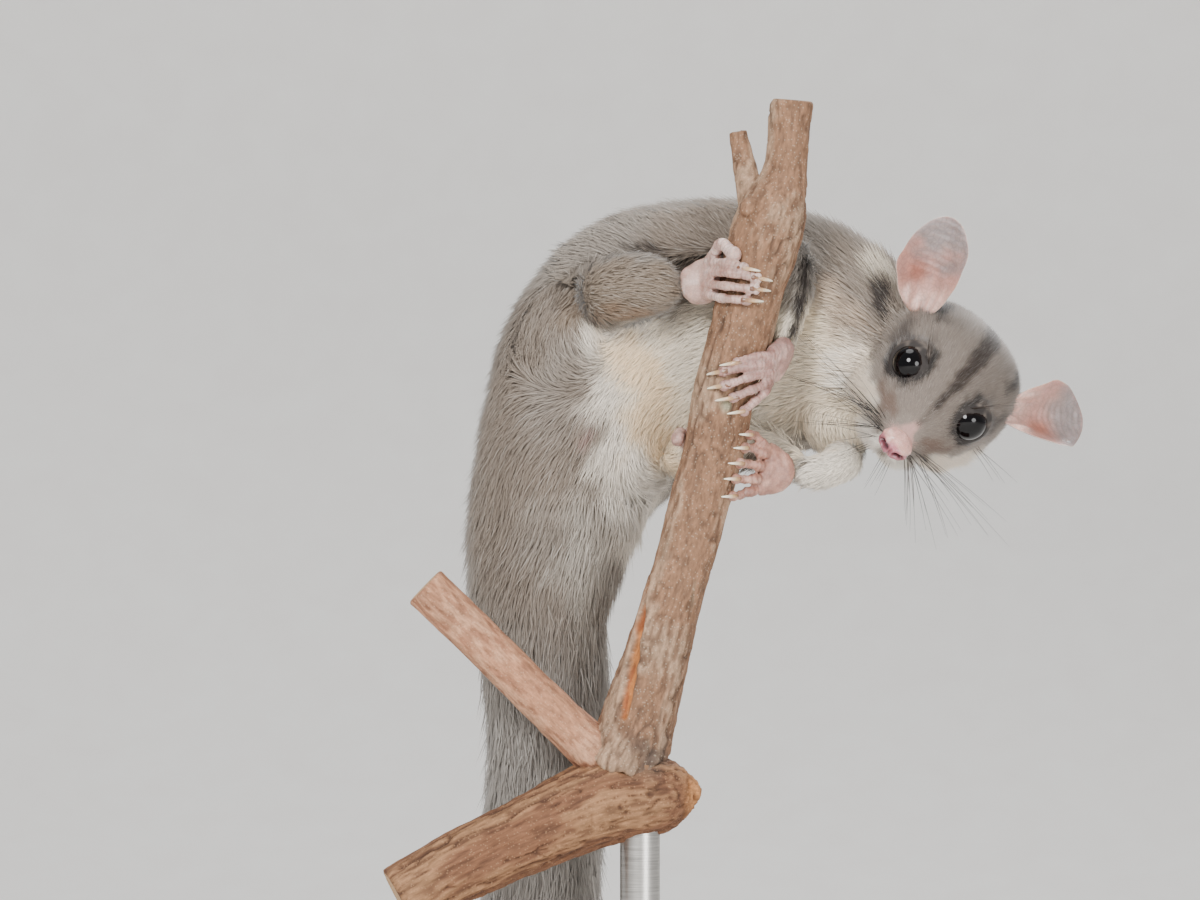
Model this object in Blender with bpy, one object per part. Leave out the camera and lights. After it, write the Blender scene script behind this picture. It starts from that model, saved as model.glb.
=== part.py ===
"""A life-size sugar glider clinging to a cut length of branch, on a plain display stand.

Metres, +Z up. The animal's belly faces -Y, the branch stands in front of it, and the tail hangs
down at -X. The origin is the middle of the stand's underside. Sizes below are in millimetres and
are multiplied by MM where a mesh is made. The animal and the perch are laid out round the upright
stem, in a grip frame whose Y is 0 on the stem's axis, and one empty carries that frame.
"""
import math
import random

import bmesh
import bpy
import numpy as np
from mathutils import Matrix, Vector

MM = 0.001
GAP = 0.3          # between touching pieces
GRIP_AT = (-6.0, -14.0, 0.0)   # the grip frame's place over the stand

# Stand
BASE_LENGTH = 150.0
BASE_WIDTH = 116.0
BASE_HEIGHT = 12.0
BASE_CORNER = 14.0
BASE_CHAMFER = 1.6
ROD_RADIUS = 4.0
ROD_X = -8.0
ROD_SINK = 9.0     # how far the rod goes down into the base
ROD_TOP = 137.0
COLLAR_RADIUS = 7.0
COLLAR_HEIGHT = 4.0

# Perch: x, y, z, radius along each length of branch
STEM = [(-12, 0, 146, 8.6), (-9.6, 0, 152, 8.0), (-6, 0, 164, 7.0), (-2.6, 0, 176, 6.3), (2, 0, 192, 6.0),
        (4.6, 0, 203, 6.0), (7.8, 0, 215.2, 6.1), (10.6, 0, 228, 6.1), (13.6, 0, 240, 6.4),
        (16.4, 0, 250, 7.2), (19, 0, 258, 6.6), (21.4, 0, 266, 4.4), (22.6, -0.6, 280, 4.1)]
STEM_TWIG = [(16, 1, 252, 3.4), (14.4, 1.6, 260, 2.6), (12.6, 2.6, 268, 2.2), (11.6, 3.2, 274, 2.0)]
STEM_KNOT = [(14.4, -4.0, 257.5, 2.6), (12.6, -6.2, 259.5, 2.0)]
BOUGH = [(-56, -8, 120.5, 6.8), (-44, -6.4, 127, 7.2), (-30, -4, 133.5, 7.8), (-15, -1.5, 139.5, 8.8),
         (-4, 0, 141, 8.0), (4, 0.6, 141.5, 5.6)]
SIDE_STEM = [(-13, -1, 146, 6.0), (-20, -1.6, 152.6, 4.9), (-28, -2.3, 160.4, 4.5), (-39, -3, 171.2, 4.5),
             (-51, -3.7, 182.8, 4.6)]

# Trunk and tail: x, y, z, half width, belly depth, back depth, turn of the belly about Z in degrees
TAIL_AND_TRUNK = [
    (-19.5, 27, 21, 4.0, 4.0, 4.0, 10), (-21, 27.5, 33, 8.6, 8.6, 8.6, 15), (-24, 28, 58, 11.2, 11, 11, 20),
    (-26.6, 28.4, 92, 12.2, 12, 12, 25), (-28, 28, 122, 12.4, 12.2, 12.2, 30),
    (-26.6, 27, 150, 12.3, 12.4, 12.4, 35), (-27.2, 26.2, 167, 14.0, 13.4, 13.4, 35),
    (-28.0, 25.4, 180, 15.8, 14.6, 14.8, 35), (-26.4, 24.8, 191, 17.2, 15.6, 16, 35),
    (-23.5, 24.5, 202, 19.8, 16.6, 17.4, 35), (-19, 25, 213, 23.8, 17.6, 18.4, 32),
    (-12.5, 26.5, 223.5, 28, 18, 19.2, 25), (-3, 28, 230.5, 30, 18.5, 19.5, 12),
    (9, 29, 234, 28.2, 18.5, 19.5, 0), (21, 28, 234, 26.2, 18, 19, -10), (31, 25.5, 231.5, 23.6, 17.5, 18, -15),
    (40, 21, 228, 19.6, 16, 16.5, -15), (48, 15.5, 225, 14.5, 13.5, 13.5, -15), (53, 12, 224, 9, 9, 9, -15)]
NECK_CUT_X = 30.0                  # the neck starts where the trunk's line passes this x

# Tail: a core that the long hair's locks grow from, and rings of locks that lie like shingles
CORE = [(191.0, 16.8), (186.0, 15.6), (179.0, 12.8), (171.0, 10.4), (160.0, 9.0), (140.0, 8.4), (90.0, 8.0),
        (60.0, 7.2), (42.0, 5.4), (32.0, 3.4)]      # height, radius
LOCK_RINGS = 15
LOCKS_IN_RING = 7
LOCK_TOP = 189.0
LOCK_STEP = 10.9
LOCK_LENGTH = 21.0
LOCK_WIDTH = 8.7
LOCK_THICK = 1.5
LOCK_SINK = 1.7
LOCK_SOLVER = "EXACT"
# Heights where the tail is divided: 9 mm under a ring's roots, where its locks have left the core
TAIL_CUTS = (LOCK_TOP - 10 * LOCK_STEP - 9.0, LOCK_TOP - 5 * LOCK_STEP - 9.0, 191.0)

# Limbs: x, y, z, radius from the body outwards
THIGH_RIGHT = [(-22, 25, 208, 9), (-23, 19.2, 220, 11.5), (-21.3, 15.2, 231.5, 11.6), (-19, 12.2, 240, 9)]
SHANK_RIGHT = [(-20.5, 10.4, 240.2, 8.0), (-9, 4.6, 242.8, 7.4), (0.6, 1.2, 242.3, 4.6)]
THIGH_LEFT = [(-17, 24, 214, 11), (-9, 20, 208.5, 11), (-2, 16.5, 205, 8.4)]
SHANK_LEFT = [(-2.5, 15.8, 204, 6.6), (0, 14.4, 208, 5.4), (1.8, 12.5, 213, 3.9)]
UPPER_ARM_RIGHT = [(27.5, 20, 243, 8), (23.5, 13, 250.5, 5.4)]
FOREARM_RIGHT = [(23, 12.5, 251, 5.0), (22.6, 8, 241, 4.3), (20.2, 2.2, 231, 3.1)]
UPPER_ARM_LEFT = [(27, 22, 221, 9.5), (33, 17, 212, 8.2), (37, 12.5, 206, 5.8)]
FOREARM_LEFT = [(37, 12, 206, 5.6), (30, 7.6, 203, 5.0), (23.2, 3.6, 204.4, 3.2)]

# Gliding membranes, drawn up along the flanks: x, y, z, half thickness, half width
MEMBRANE_RIGHT = [(21.4, 5.6, 236, 0.9, 2.2), (23.6, 10, 244, 1.2, 3.4), (20, 13, 252.5, 1.5, 4.6),
                  (10, 13, 254, 1.5, 5.4), (-1, 11.5, 253.2, 1.5, 5.6), (-11, 10, 252, 1.5, 5.2),
                  (-20, 10, 248.5, 1.3, 4.4), (-25, 11.5, 243, 1.0, 3.0)]
MEMBRANE_LEFT = [(26.5, 9, 203.4, 0.9, 2.2), (22, 13.5, 208.5, 1.3, 4.0), (14, 15.5, 211, 1.5, 5.0),
                 (6, 16, 209, 1.4, 4.6), (1, 15.5, 204, 1.0, 3.0)]

# Head frame: x forward to the nose, y to the animal's left, z up
EYE_MIDDLE = (3.6, 0.0, 0.45)      # between the eyes, in the head frame
EYE_MIDDLE_AT = (51.7, -1.0, 221.0)  # the same point in the grip frame
HEAD_ROLL = 47.0                   # degrees that the crown leans to +X
HEAD_PITCH = 27.0                  # degrees that the nose drops
HEAD_YAW = 5.0                     # degrees that the nose turns to the animal's left
# x, height of the axis, half width, height over it, depth under it, narrowing towards the top
HEAD = [(-29, 0, 5, 5, 5, 0), (-26, 0, 11, 7.2, 10, 0.06), (-20, -0.6, 15.8, 10.2, 14.6, 0.14),
        (-12, -1.8, 18.2, 13.6, 16.4, 0.24), (-5, -3.6, 18.6, 13.6, 14.8, 0.34), (1, -5.6, 16.8, 11.4, 12, 0.44),
        (5.5, -7, 12.8, 8.8, 8.6, 0.46), (9.5, -8.2, 8.6, 5.8, 5.6, 0.38), (13, -8.8, 5.8, 3.8, 3.8, 0.24),
        (15.8, -8.8, 3.8, 2.8, 2.8, 0.1)]
JAW = [(-5, -16.4, 7.8, 2.8), (2, -15.9, 6.4, 2.5), (8, -14.2, 4.6, 2.0), (12.8, -12.6, 2.8, 1.5)]
# One side of each lip from the chin's middle back to the corner of the mouth
LOWER_LIP = [(12.9, 0, -12.2), (12.2, 1.9, -12.4), (10, 3.8, -13.3), (6, 5.3, -14.7), (1, 6.5, -15.9)]
UPPER_LIP = [(14.3, 0, -11.1), (13.2, 2.5, -11.6), (10, 4.7, -12.8), (6, 6.1, -14.2), (1, 7.3, -15.5)]
LOWER_LIP_RADIUS = 0.55
UPPER_LIP_RADIUS = 0.75
EYE_CENTRE = (1.0, 7.75, -0.1)
EYE_RADIUS = 4.2
EYE_LOOK = (0.85, 0.48, 0.17)
LID_RADIUS = 3.75
LID_THICK = 0.75
LID_OUT = 2.0                      # the lid ring's distance from the eye's centre
NOSE_CENTRE = (15.5, 0.0, -8.1)
NOSE_SIZE = (3.0, 3.45, 2.9)
NOSTRIL = (17.7, 2.1, -8.9)
NOSTRIL_SIZE = (1.3, 0.8, 0.95)

EAR_ROOT = (-8.6, 13.6, 3.2)
EAR_LENGTH = 21.5
EAR_WIDTH = 7.0
EAR_THICK = 0.55
# direction from root to tip, then the way the cup opens, in the head frame
EAR_RIGHT_LIES = ((-0.33, -0.4, 0.85), (0.85, -0.3, 0.4))
EAR_LEFT_LIES = ((-0.78, 0.6, 0.1), (0.4, 0.33, 0.85))

# Palms and soles from the wrist on: x, y, z, half width along the stem, half thickness
PALM_RIGHT = [(21.6, 3.6, 231.4, 2.6, 2.1), (19.9, 0.4, 228.6, 3.8, 2.1), (18.0, -2.6, 226.4, 4.6, 1.8)]
PALM_LEFT = [(22.8, 3.4, 204.7, 3.0, 2.4), (18.6, 1.8, 205.8, 5.0, 2.3), (15.6, 0.0, 206.6, 6.0, 2.0)]
SOLE_RIGHT = [(0.2, 2.6, 242.0, 3.4, 2.5), (5.0, 1.4, 243.8, 4.6, 2.2), (7.4, -1.8, 245.2, 4.6, 1.9)]
SOLE_LEFT = [(1.9, 11.6, 212.6, 2.8, 2.0), (2.6, 8.6, 211.8, 3.8, 1.8), (3.6, 6.4, 211.4, 4.0, 1.7)]
ALONG_STEM = (0.2, 0.0, 1.0)

# Digits: height on the stem, angle round it (0 faces -Y, 90 faces +X) and lift off the bark
FINGER_RADIUS = 0.98
CLAW_LENGTH = 3.2
CLAW_RADIUS = 0.5
HAND_RIGHT = [((228.8, 62, 2.3), (228.6, 34, 1.7), (227.4, 8, 1.0)),
              ((227.2, 64, 2.6), (226.6, 28, 1.9), (225.6, -13, 1.0)),
              ((225.4, 64, 2.6), (224.4, 28, 1.9), (222.8, -6, 1.0)),
              ((223.6, 64, 2.5), (222.0, 38, 1.8), (220.4, 13, 1.0)),
              ((221.8, 66, 2.3), (219.8, 52, 1.6), (217.8, 38, 1.0))]
HAND_LEFT = [((211.4, 84, 3.6), (212.8, 80, 1.9), (213.0, 68, 1.2)),
             ((209.3, 82, 4.2), (210.4, 78, 2.1), (210.4, 64, 1.2)),
             ((206.8, 82, 4.4), (207.2, 77, 2.2), (207.3, 62, 1.2)),
             ((204.2, 82, 4.2), (204.1, 77, 2.2), (204.2, 62, 1.2)),
             ((201.6, 84, 3.8), (201.0, 80, 2.0), (200.8, 66, 1.2))]
FOOT_RIGHT = [((248.0, -84, 2.4), (251.0, -64, 2.2), (249.0, -40, 1.4)),
              ((247.4, -74, 2.2), (247.2, -50, 1.7), (246.2, -20, 1.0)),
              ((245.4, -74, 2.2), (245.2, -36, 1.7), (244.2, 4, 1.0)),
              ((243.2, -76, 2.2), (242.6, -36, 1.7), (242.0, 6, 1.0)),
              ((241.0, -78, 2.0), (240.2, -40, 1.6), (239.8, -2, 1.0))]
FOOT_LEFT = [((211.6, -138, 2.2), (213.2, -116, 1.9), (212.2, -92, 1.4)),
             ((213.6, -160, 1.9), (214.4, -184, 1.4), (214.6, -206, 1.0)),
             ((211.8, -162, 1.9), (211.8, -192, 1.4), (211.8, -222, 1.0)),
             ((209.8, -162, 1.9), (209.2, -192, 1.4), (209.0, -222, 1.0)),
             ((208.0, -160, 1.8), (206.8, -186, 1.3), (206.4, -212, 1.0))]

FUR_GREY = (0.42, 0.37, 0.33)
FUR_CREAM = (0.86, 0.76, 0.6)
SKIN_PINK = (0.72, 0.47, 0.44)
EYE_BLACK = (0.01, 0.01, 0.012)
BARK_BROWN = (0.33, 0.21, 0.14)
WOOD_DARK = (0.12, 0.07, 0.045)
METAL_GREY = (0.45, 0.43, 0.4)


def clear_scene():
    for obj in list(bpy.data.objects):
        bpy.data.objects.remove(obj, do_unlink=True)


def material(name, colour, roughness, metallic=0.0):
    made = bpy.data.materials.new(name)
    made.use_nodes = True
    shader = made.node_tree.nodes["Principled BSDF"]
    shader.inputs["Base Color"].default_value = (*colour, 1.0)
    shader.inputs["Roughness"].default_value = roughness
    shader.inputs["Metallic"].default_value = metallic
    made.diffuse_color = (*colour, 1.0)
    return made


def through(rows, count):
    """Rows of numbers read off a smooth curve that passes through the given rows."""
    rows = np.array(rows, float)
    held = np.vstack([2 * rows[0] - rows[1], rows, 2 * rows[-1] - rows[-2]])
    read = []
    for u in np.linspace(0, len(rows) - 1, count):
        i = min(int(u), len(rows) - 2)
        f = u - i
        a, b, c, d = held[i:i + 4]
        read.append(0.5 * (2 * b + (c - a) * f + (2 * a - 5 * b + 4 * c - d) * f ** 2
                           + (3 * b - a - 3 * c + d) * f ** 3))
    return np.array(read)


def wide(rows, turn=0.0):
    """Limb rows of x, y, z, radius as trunk rows: half width, belly, back and turn."""
    return [(x, y, z, r, r, r, turn) for x, y, z, r in rows]


def unit(vectors):
    return vectors / np.linalg.norm(vectors, axis=-1, keepdims=True)


def shares_along(count, round_start, round_end):
    """Where the rings of a tube lie, from 0 to 1, closer together at a round end."""
    steps = count - 1 + round_start + round_end
    u = (np.arange(count) + round_start) / steps
    if round_start and round_end:
        eased = (1 - np.cos(np.pi * u)) / 2
    elif round_start:
        eased = 1 - np.cos(np.pi * u / 2)
    elif round_end:
        eased = np.sin(np.pi * u / 2)
    else:
        return u
    return 0.45 * u + 0.55 * eased


def tube(rows, sides, rings, facing=None, round_ends=(True, True), cut=(0.0, 1.0), grow=0.0, square=2.0):
    """A bmesh ball drawn out along the rows' curve. Each ring is an oval of the row's half width,
    belly depth and back depth, narrowed towards the back where a row has a last number for it.
    cut keeps the stretch between two shares of the curve's length."""
    fine = through(rows, 40 * len(rows))
    centres = fine[:, :3]
    steps = np.linalg.norm(np.diff(centres, axis=0), axis=1)
    travelled = np.concatenate([[0], np.cumsum(steps)])
    length = travelled[-1]
    start, end = cut[0] * length - grow * round_ends[0], cut[1] * length + grow * round_ends[1]
    tangents = unit(np.gradient(centres, axis=0))

    def at(distance):
        """Centre, tangent and sizes at a distance along the curve, running straight on past its ends."""
        held = min(max(distance, 0.0), length)
        row = np.array([np.interp(held, travelled, fine[:, k]) for k in range(fine.shape[1])])
        tangent = unit(np.array([np.interp(held, travelled, tangents[:, k]) for k in range(3)]))
        return row[:3] + tangent * (distance - held), tangent, row[3:]

    bm = bmesh.new()
    bmesh.ops.create_uvsphere(bm, u_segments=sides, v_segments=rings + 1, radius=1.0)
    shares = shares_along(rings, int(round_ends[0]), int(round_ends[1]))
    places = np.concatenate([[0.0], shares, [1.0]]) * (end - start) + start
    for vert in bm.verts:
        ring = round(math.acos(max(-1.0, min(1.0, vert.co.z))) * (rings + 1) / math.pi)
        centre, tangent, (width, belly, back, turn, *narrowing) = at(places[ring])
        if ring in (0, rings + 1):
            vert.co = Vector(centre) * MM
            continue
        towards = facing or (math.sin(math.radians(turn)), -math.cos(math.radians(turn)), 0.0)
        side = unit(np.cross(tangent, towards))
        front = np.cross(side, -tangent) * -1.0
        shrink = 1.0
        for is_round, left in ((round_ends[0], places[ring] - start), (round_ends[1], end - places[ring])):
            reach = min(width, max(belly, back)) + grow
            if is_round and left < reach:
                shrink *= math.sqrt(max(0.0, 1 - (1 - left / reach) ** 2))
        angle = math.atan2(vert.co.y, vert.co.x)
        across = math.copysign(abs(math.cos(angle)) ** (2 / square), math.cos(angle))
        deep = math.copysign(abs(math.sin(angle)) ** (2 / square), math.sin(angle))
        depth = belly if deep > 0 else back
        width *= 1 - sum(narrowing) * (1 - deep) / 2
        offset = side * across * (width + grow) + front * deep * (depth + grow)
        vert.co = Vector(centre + offset * shrink) * MM
    bmesh.ops.recalc_face_normals(bm, faces=bm.faces)
    return bm


def ball(centre, size, sides=12, rings=8, turn=None):
    """A bmesh oval ball, its half sizes along x, y and z, turned by a matrix."""
    bm = bmesh.new()
    bmesh.ops.create_uvsphere(bm, u_segments=sides, v_segments=rings, radius=1.0)
    spread = Matrix.Diagonal((*[s * MM for s in size], 1.0))
    place = Matrix.Translation(Vector(centre) * MM)
    bmesh.ops.transform(bm, matrix=place @ (turn or Matrix.Identity(4)) @ spread, verts=bm.verts)
    return bm


def swell(bm, centre, reach, amount):
    """Pushes the surface near a point out along its normals, or in where the amount is negative."""
    bm.normal_update()
    centre = Vector(centre) * MM
    moves = []
    for vert in bm.verts:
        near = math.exp(-((vert.co - centre).length / (reach * MM)) ** 2)
        moves.append(vert.normal * amount * MM * near)
    for vert, move in zip(bm.verts, moves):
        vert.co += move


def as_object(name, bm, finish=None, grip=None):
    if bm.calc_volume(signed=True) < 0:
        bmesh.ops.reverse_faces(bm, faces=bm.faces)
    mesh = bpy.data.meshes.new(name)
    bm.to_mesh(mesh)
    bm.free()
    obj = bpy.data.objects.new(name, mesh)
    bpy.context.scene.collection.objects.link(obj)
    obj.parent = grip
    if finish:
        mesh.materials.append(finish)
        mesh.shade_smooth()
    return obj


def boolean(obj, others, operation, solver="EXACT"):
    """Joins or cuts the object with a collection of closed pieces, applies that, and removes them."""
    pieces = bpy.data.collections.new("pieces")
    bpy.context.scene.collection.children.link(pieces)
    for other in others:
        pieces.objects.link(other)
    modifier = obj.modifiers.new("pieces", "BOOLEAN")
    modifier.operation = operation
    modifier.operand_type = "COLLECTION"
    modifier.collection = pieces
    modifier.solver = solver
    bpy.context.view_layer.update()
    graph = bpy.context.evaluated_depsgraph_get()
    made = bpy.data.meshes.new_from_object(obj.evaluated_get(graph))
    obj.modifiers.clear()
    obj.data = made
    made.name = obj.name
    for other in others:
        bpy.data.objects.remove(other, do_unlink=True)
    bpy.data.collections.remove(pieces)


def keep_largest(obj):
    """Keeps the largest closed surface of a mesh, which drops loose scraps and sealed hollows."""
    bm = bmesh.new()
    bm.from_mesh(obj.data)
    bmesh.ops.remove_doubles(bm, verts=bm.verts, dist=0.002 * MM)
    bmesh.ops.dissolve_degenerate(bm, edges=bm.edges, dist=0.002 * MM)
    left, shells = set(bm.verts), []
    while left:
        shell, queue = set(), [next(iter(left))]
        while queue:
            vert = queue.pop()
            if vert in shell:
                continue
            shell.add(vert)
            queue += [edge.other_vert(vert) for edge in vert.link_edges]
        left -= shell
        shells.append(shell)
    shells.sort(key=lambda shell: max(v.co.z for v in shell) - min(v.co.z for v in shell)
                + max(v.co.x for v in shell) - min(v.co.x for v in shell))
    bmesh.ops.delete(bm, geom=[v for shell in shells[:-1] for v in shell], context="VERTS")
    bmesh.ops.triangulate(bm, faces=bm.faces)
    bm.to_mesh(obj.data)
    bm.free()


def stem_at(height):
    """Centre and radius of the upright stem at a height."""
    fine = through(STEM, 400)
    return [float(np.interp(height, fine[:, 2], fine[:, k])) for k in (0, 1, 3)]


def on_stem(height, angle, lift):
    """The point a lift above the stem's bark, at an angle round it from -Y towards +X."""
    x, y, radius = stem_at(height)
    a = math.radians(angle)
    return (x + (radius + lift) * math.sin(a), y - (radius + lift) * math.cos(a), height)


def head_matrix():
    """The head frame in the grip frame."""
    roll, pitch, yaw = (math.radians(d) for d in (HEAD_ROLL, HEAD_PITCH, HEAD_YAW))
    ahead = Vector((0, -1, 0))
    up = Vector((math.sin(roll), 0, math.cos(roll)))
    left = up.cross(ahead)
    nose = ahead * math.cos(pitch) - up * math.sin(pitch)
    crown = up * math.cos(pitch) + ahead * math.sin(pitch)
    forward = nose * math.cos(yaw) + left * math.sin(yaw)
    left = left * math.cos(yaw) - nose * math.sin(yaw)
    turn = Matrix((forward, left, crown)).transposed().to_4x4()
    return Matrix.Translation((Vector(EYE_MIDDLE_AT) - turn @ Vector(EYE_MIDDLE)) * MM) @ turn


def mirrored(point, side):
    return (point[0], point[1] * side, point[2])


def eye_ball(side, grow=0.0):
    """side is 1 for the animal's left and -1 for its right."""
    size = EYE_RADIUS + grow
    return ball(mirrored(EYE_CENTRE, side), (size, size, size), sides=14, rings=9)


def lid_ring(side):
    """The rim of the lids, a ring that stands a little proud round the eye."""
    bm = bmesh.new()
    look = Vector(mirrored(EYE_LOOK, side)).normalized()
    bmesh.ops.create_circle(bm, cap_ends=False, segments=4, radius=LID_THICK * MM,
                            matrix=Matrix.Translation((LID_RADIUS * MM, 0, 0)) @ Matrix.Rotation(math.pi / 2, 4, "X"))
    bmesh.ops.spin(bm, geom=bm.verts[:] + bm.edges[:], cent=(0, 0, 0), axis=(0, 0, 1),
                   angle=math.tau, steps=12, use_merge=True, use_normal_flip=False, use_duplicate=False)
    bmesh.ops.remove_doubles(bm, verts=bm.verts, dist=0.01 * MM)
    bmesh.ops.recalc_face_normals(bm, faces=bm.faces)
    place = Vector(mirrored(EYE_CENTRE, side)) * MM + look * LID_OUT * MM
    turn = look.to_track_quat("Z", "Y").to_matrix().to_4x4()
    bmesh.ops.transform(bm, matrix=Matrix.Translation(place) @ turn, verts=bm.verts)
    return bm


def ear_shell(side, lies):
    """A thin cupped leaf from a flattened ball: the ball's front half is the inside of the cup."""
    up = Vector(lies[0]).normalized()
    opening = Vector(lies[1])
    opening = (opening - up * opening.dot(up)).normalized()
    across = up.cross(opening)
    bm = bmesh.new()
    bmesh.ops.create_uvsphere(bm, u_segments=14, v_segments=10, radius=1.0)
    bmesh.ops.rotate(bm, verts=bm.verts, cent=(0, 0, 0), matrix=Matrix.Rotation(math.pi / 2, 3, "X"))
    for vert in bm.verts:
        x, y, z = vert.co
        share = (z + 1) / 2
        broad = EAR_WIDTH * (0.78 + 0.5 * share - 0.34 * share ** 2)
        cup = 4.6 * (1 - share) ** 0.7 + 1.2
        along = share * EAR_LENGTH
        thick = (EAR_THICK + 0.35 * (1 - share)) * (1 - (x * x + z * z) ** 3 * 0.35)
        rim = math.sqrt(max(0.0, 1 - x * x - z * z))
        dish = cup * (x * x * 1.5 - 0.55) + 1.4 * share ** 2
        lean = x * broad
        out = up * along + across * lean + opening * (dish + math.copysign(thick * min(1.0, rim * 2.2), y))
        vert.co = (Vector(mirrored(EAR_ROOT, side)) + out) * MM
    bmesh.ops.recalc_face_normals(bm, faces=bm.faces)
    return bm


def head_rows():
    return [(x, 0, z, width, under, over, 0, pinch) for x, z, width, over, under, pinch in HEAD]


def jaw_rows():
    return [(x, 0, z, width, deep, deep, 0) for x, z, width, deep in JAW]


DOWN = (0.0, 0.0, -1.0)


def in_head(bm):
    bmesh.ops.transform(bm, matrix=head_matrix(), verts=bm.verts)
    return bm


def head_form(grow=0.0):
    bm = tube(head_rows(), 20, 16, facing=DOWN, grow=grow, square=2.3)
    for side in (1, -1):
        swell(bm, (-3, 14.5 * side, -8), 6.0, 1.3)        # cheek
        swell(bm, (11.4, 3.8 * side, -10.4), 2.6, 0.9)    # whisker pad and upper lip
        swell(bm, (0.5, 7.5 * side, 6.0), 4.0, 0.8)       # brow over the eye
        swell(bm, (7.5, 8.5 * side, -3.5), 3.6, -1.0)     # hollow before the eye
    swell(bm, (8.5, 0, -1.5), 3.2, -0.35)                  # bridge of the nose
    return in_head(bm)


def jaw_form(grow=0.0):
    return in_head(tube(jaw_rows(), 12, 8, facing=DOWN, grow=grow))


def lip_form(half, radius, grow=0.0):
    """A lip from one corner of the mouth round to the other."""
    whole = [mirrored(point, -1) for point in reversed(half[1:])] + list(half)
    rows = [(*point, radius) for point in whole]
    return in_head(tube(wide(rows), 5, 9, facing=(0.3, 0.0, 1.0), grow=grow))


def nose_form(grow=0.0):
    size = [s + grow for s in NOSE_SIZE]
    return in_head(ball(NOSE_CENTRE, size, sides=12, rings=8))


def helpers(grip, *shapes):
    return [as_object("piece", bm, grip=grip) for bm in shapes]


def make_head(grip, fur, skin, eye):
    made = []
    for side, name in ((1, "left"), (-1, "right")):
        made.append(as_object("eye_" + name, in_head(eye_ball(side)), eye, grip))
    nose = as_object("nose", nose_form(), skin, grip)
    pits = [in_head(ball(mirrored(NOSTRIL, side), NOSTRIL_SIZE, 8, 6)) for side in (1, -1)]
    boolean(nose, helpers(grip, *pits), "DIFFERENCE")
    jaw = as_object("lower_jaw", jaw_form(), fur, grip)
    boolean(jaw, helpers(grip, lip_form(LOWER_LIP, LOWER_LIP_RADIUS)), "UNION")
    boolean(jaw, helpers(grip, nose_form(GAP)), "DIFFERENCE")
    for side, name, lies in ((1, "left", EAR_LEFT_LIES), (-1, "right", EAR_RIGHT_LIES)):
        ear = as_object("ear_" + name, in_head(ear_shell(side, lies)), skin, grip)
        boolean(ear, helpers(grip, head_form(GAP)), "DIFFERENCE")
        keep_largest(ear)
    head = as_object("head", head_form(), fur, grip)
    raised = [in_head(lid_ring(side)) for side in (1, -1)] + [lip_form(UPPER_LIP, UPPER_LIP_RADIUS)]
    boolean(head, helpers(grip, *raised), "UNION")
    cutters = [nose_form(GAP), jaw_form(GAP), lip_form(LOWER_LIP, LOWER_LIP_RADIUS, GAP)]
    cutters += [in_head(eye_ball(side, GAP)) for side in (1, -1)]
    boolean(head, helpers(grip, *cutters), "DIFFERENCE")
    for obj in (nose, jaw, head):
        keep_largest(obj)
    return made + [nose, jaw, head]


def length_share(rows, column, value):
    """Share of the curve's length at which a column of its rows first reaches a value."""
    fine = through(rows, 40 * len(rows))
    steps = np.linalg.norm(np.diff(fine[:, :3], axis=0), axis=1)
    travelled = np.concatenate([[0], np.cumsum(steps)])
    index = int(np.argmax(fine[:, column] >= value))
    return travelled[index] / travelled[-1], travelled[-1]


def trunk_piece(name, start, end, sides, rings, finish, grip, round_ends=(False, False)):
    return as_object(name, tube(TAIL_AND_TRUNK, sides, rings, cut=(start, end), round_ends=round_ends,
                                square=2.1), finish, grip)


def tail_at(height):
    """Centre of the tail and the radius to its hair tips at a height."""
    fine = through(TAIL_AND_TRUNK[:10], 400)
    return [float(np.interp(height, fine[:, 2], fine[:, k])) for k in (0, 1, 3)]


def core_radius(height):
    heights, radii = zip(*reversed(CORE))
    return float(np.interp(height, heights, radii))


def tail_core(low, high, rings):
    heights = np.linspace(low, high, 5 * rings)
    rows = [(*tail_at(z)[:2], z, core_radius(z)) for z in heights]
    ends = (low <= CORE[-1][0], False)
    return tube(wide(rows), 12, rings, facing=(0.0, -1.0, 0.0), round_ends=ends)


def lock(height, angle, length, width, sway, reach):
    """One flat lock of hair: a wedge with a ridge outside, sunk in the core and tapered to a point."""
    bm = bmesh.new()
    rings = []
    root = core_radius(height) - LOCK_SINK
    lean = (tail_at(height + 2)[0] - tail_at(height - 2)[0]) / 4
    height -= lean * root * math.sin(math.radians(angle))
    for share, broad, deep in ((0.0, 0.66, 0.8), (0.3, 0.98, 1.0), (0.66, 0.86, 0.72), (1.0, 0.0, 0.0)):
        z = height - length * share
        x, y, outline = tail_at(z)
        radius = root + (outline * reach - root) * share ** 0.75
        turn = math.radians(angle + sway * share ** 2)
        outward = Vector((math.sin(turn), -math.cos(turn), 0.0))
        around = Vector((math.cos(turn), math.sin(turn), 0.0))
        middle = Vector((x, y, z)) + outward * radius
        if broad == 0.0:
            rings.append([bm.verts.new(middle * MM)])
            continue
        edge = around * width * broad / 2
        dip = outward * LOCK_THICK * deep
        rings.append([bm.verts.new(p * MM) for p in (middle - edge - dip * 0.55, middle + edge - dip * 0.55,
                                                      middle + dip * 0.45)])
    bm.faces.new(rings[0])
    for low, high in zip(rings[:-2], rings[1:-1]):
        for i in range(3):
            bm.faces.new((low[i], high[i], high[(i + 1) % 3], low[(i + 1) % 3]))
    for i in range(3):
        bm.faces.new((rings[-2][i], rings[-1][0], rings[-2][(i + 1) % 3]))
    bmesh.ops.recalc_face_normals(bm, faces=bm.faces)
    return bm


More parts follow.
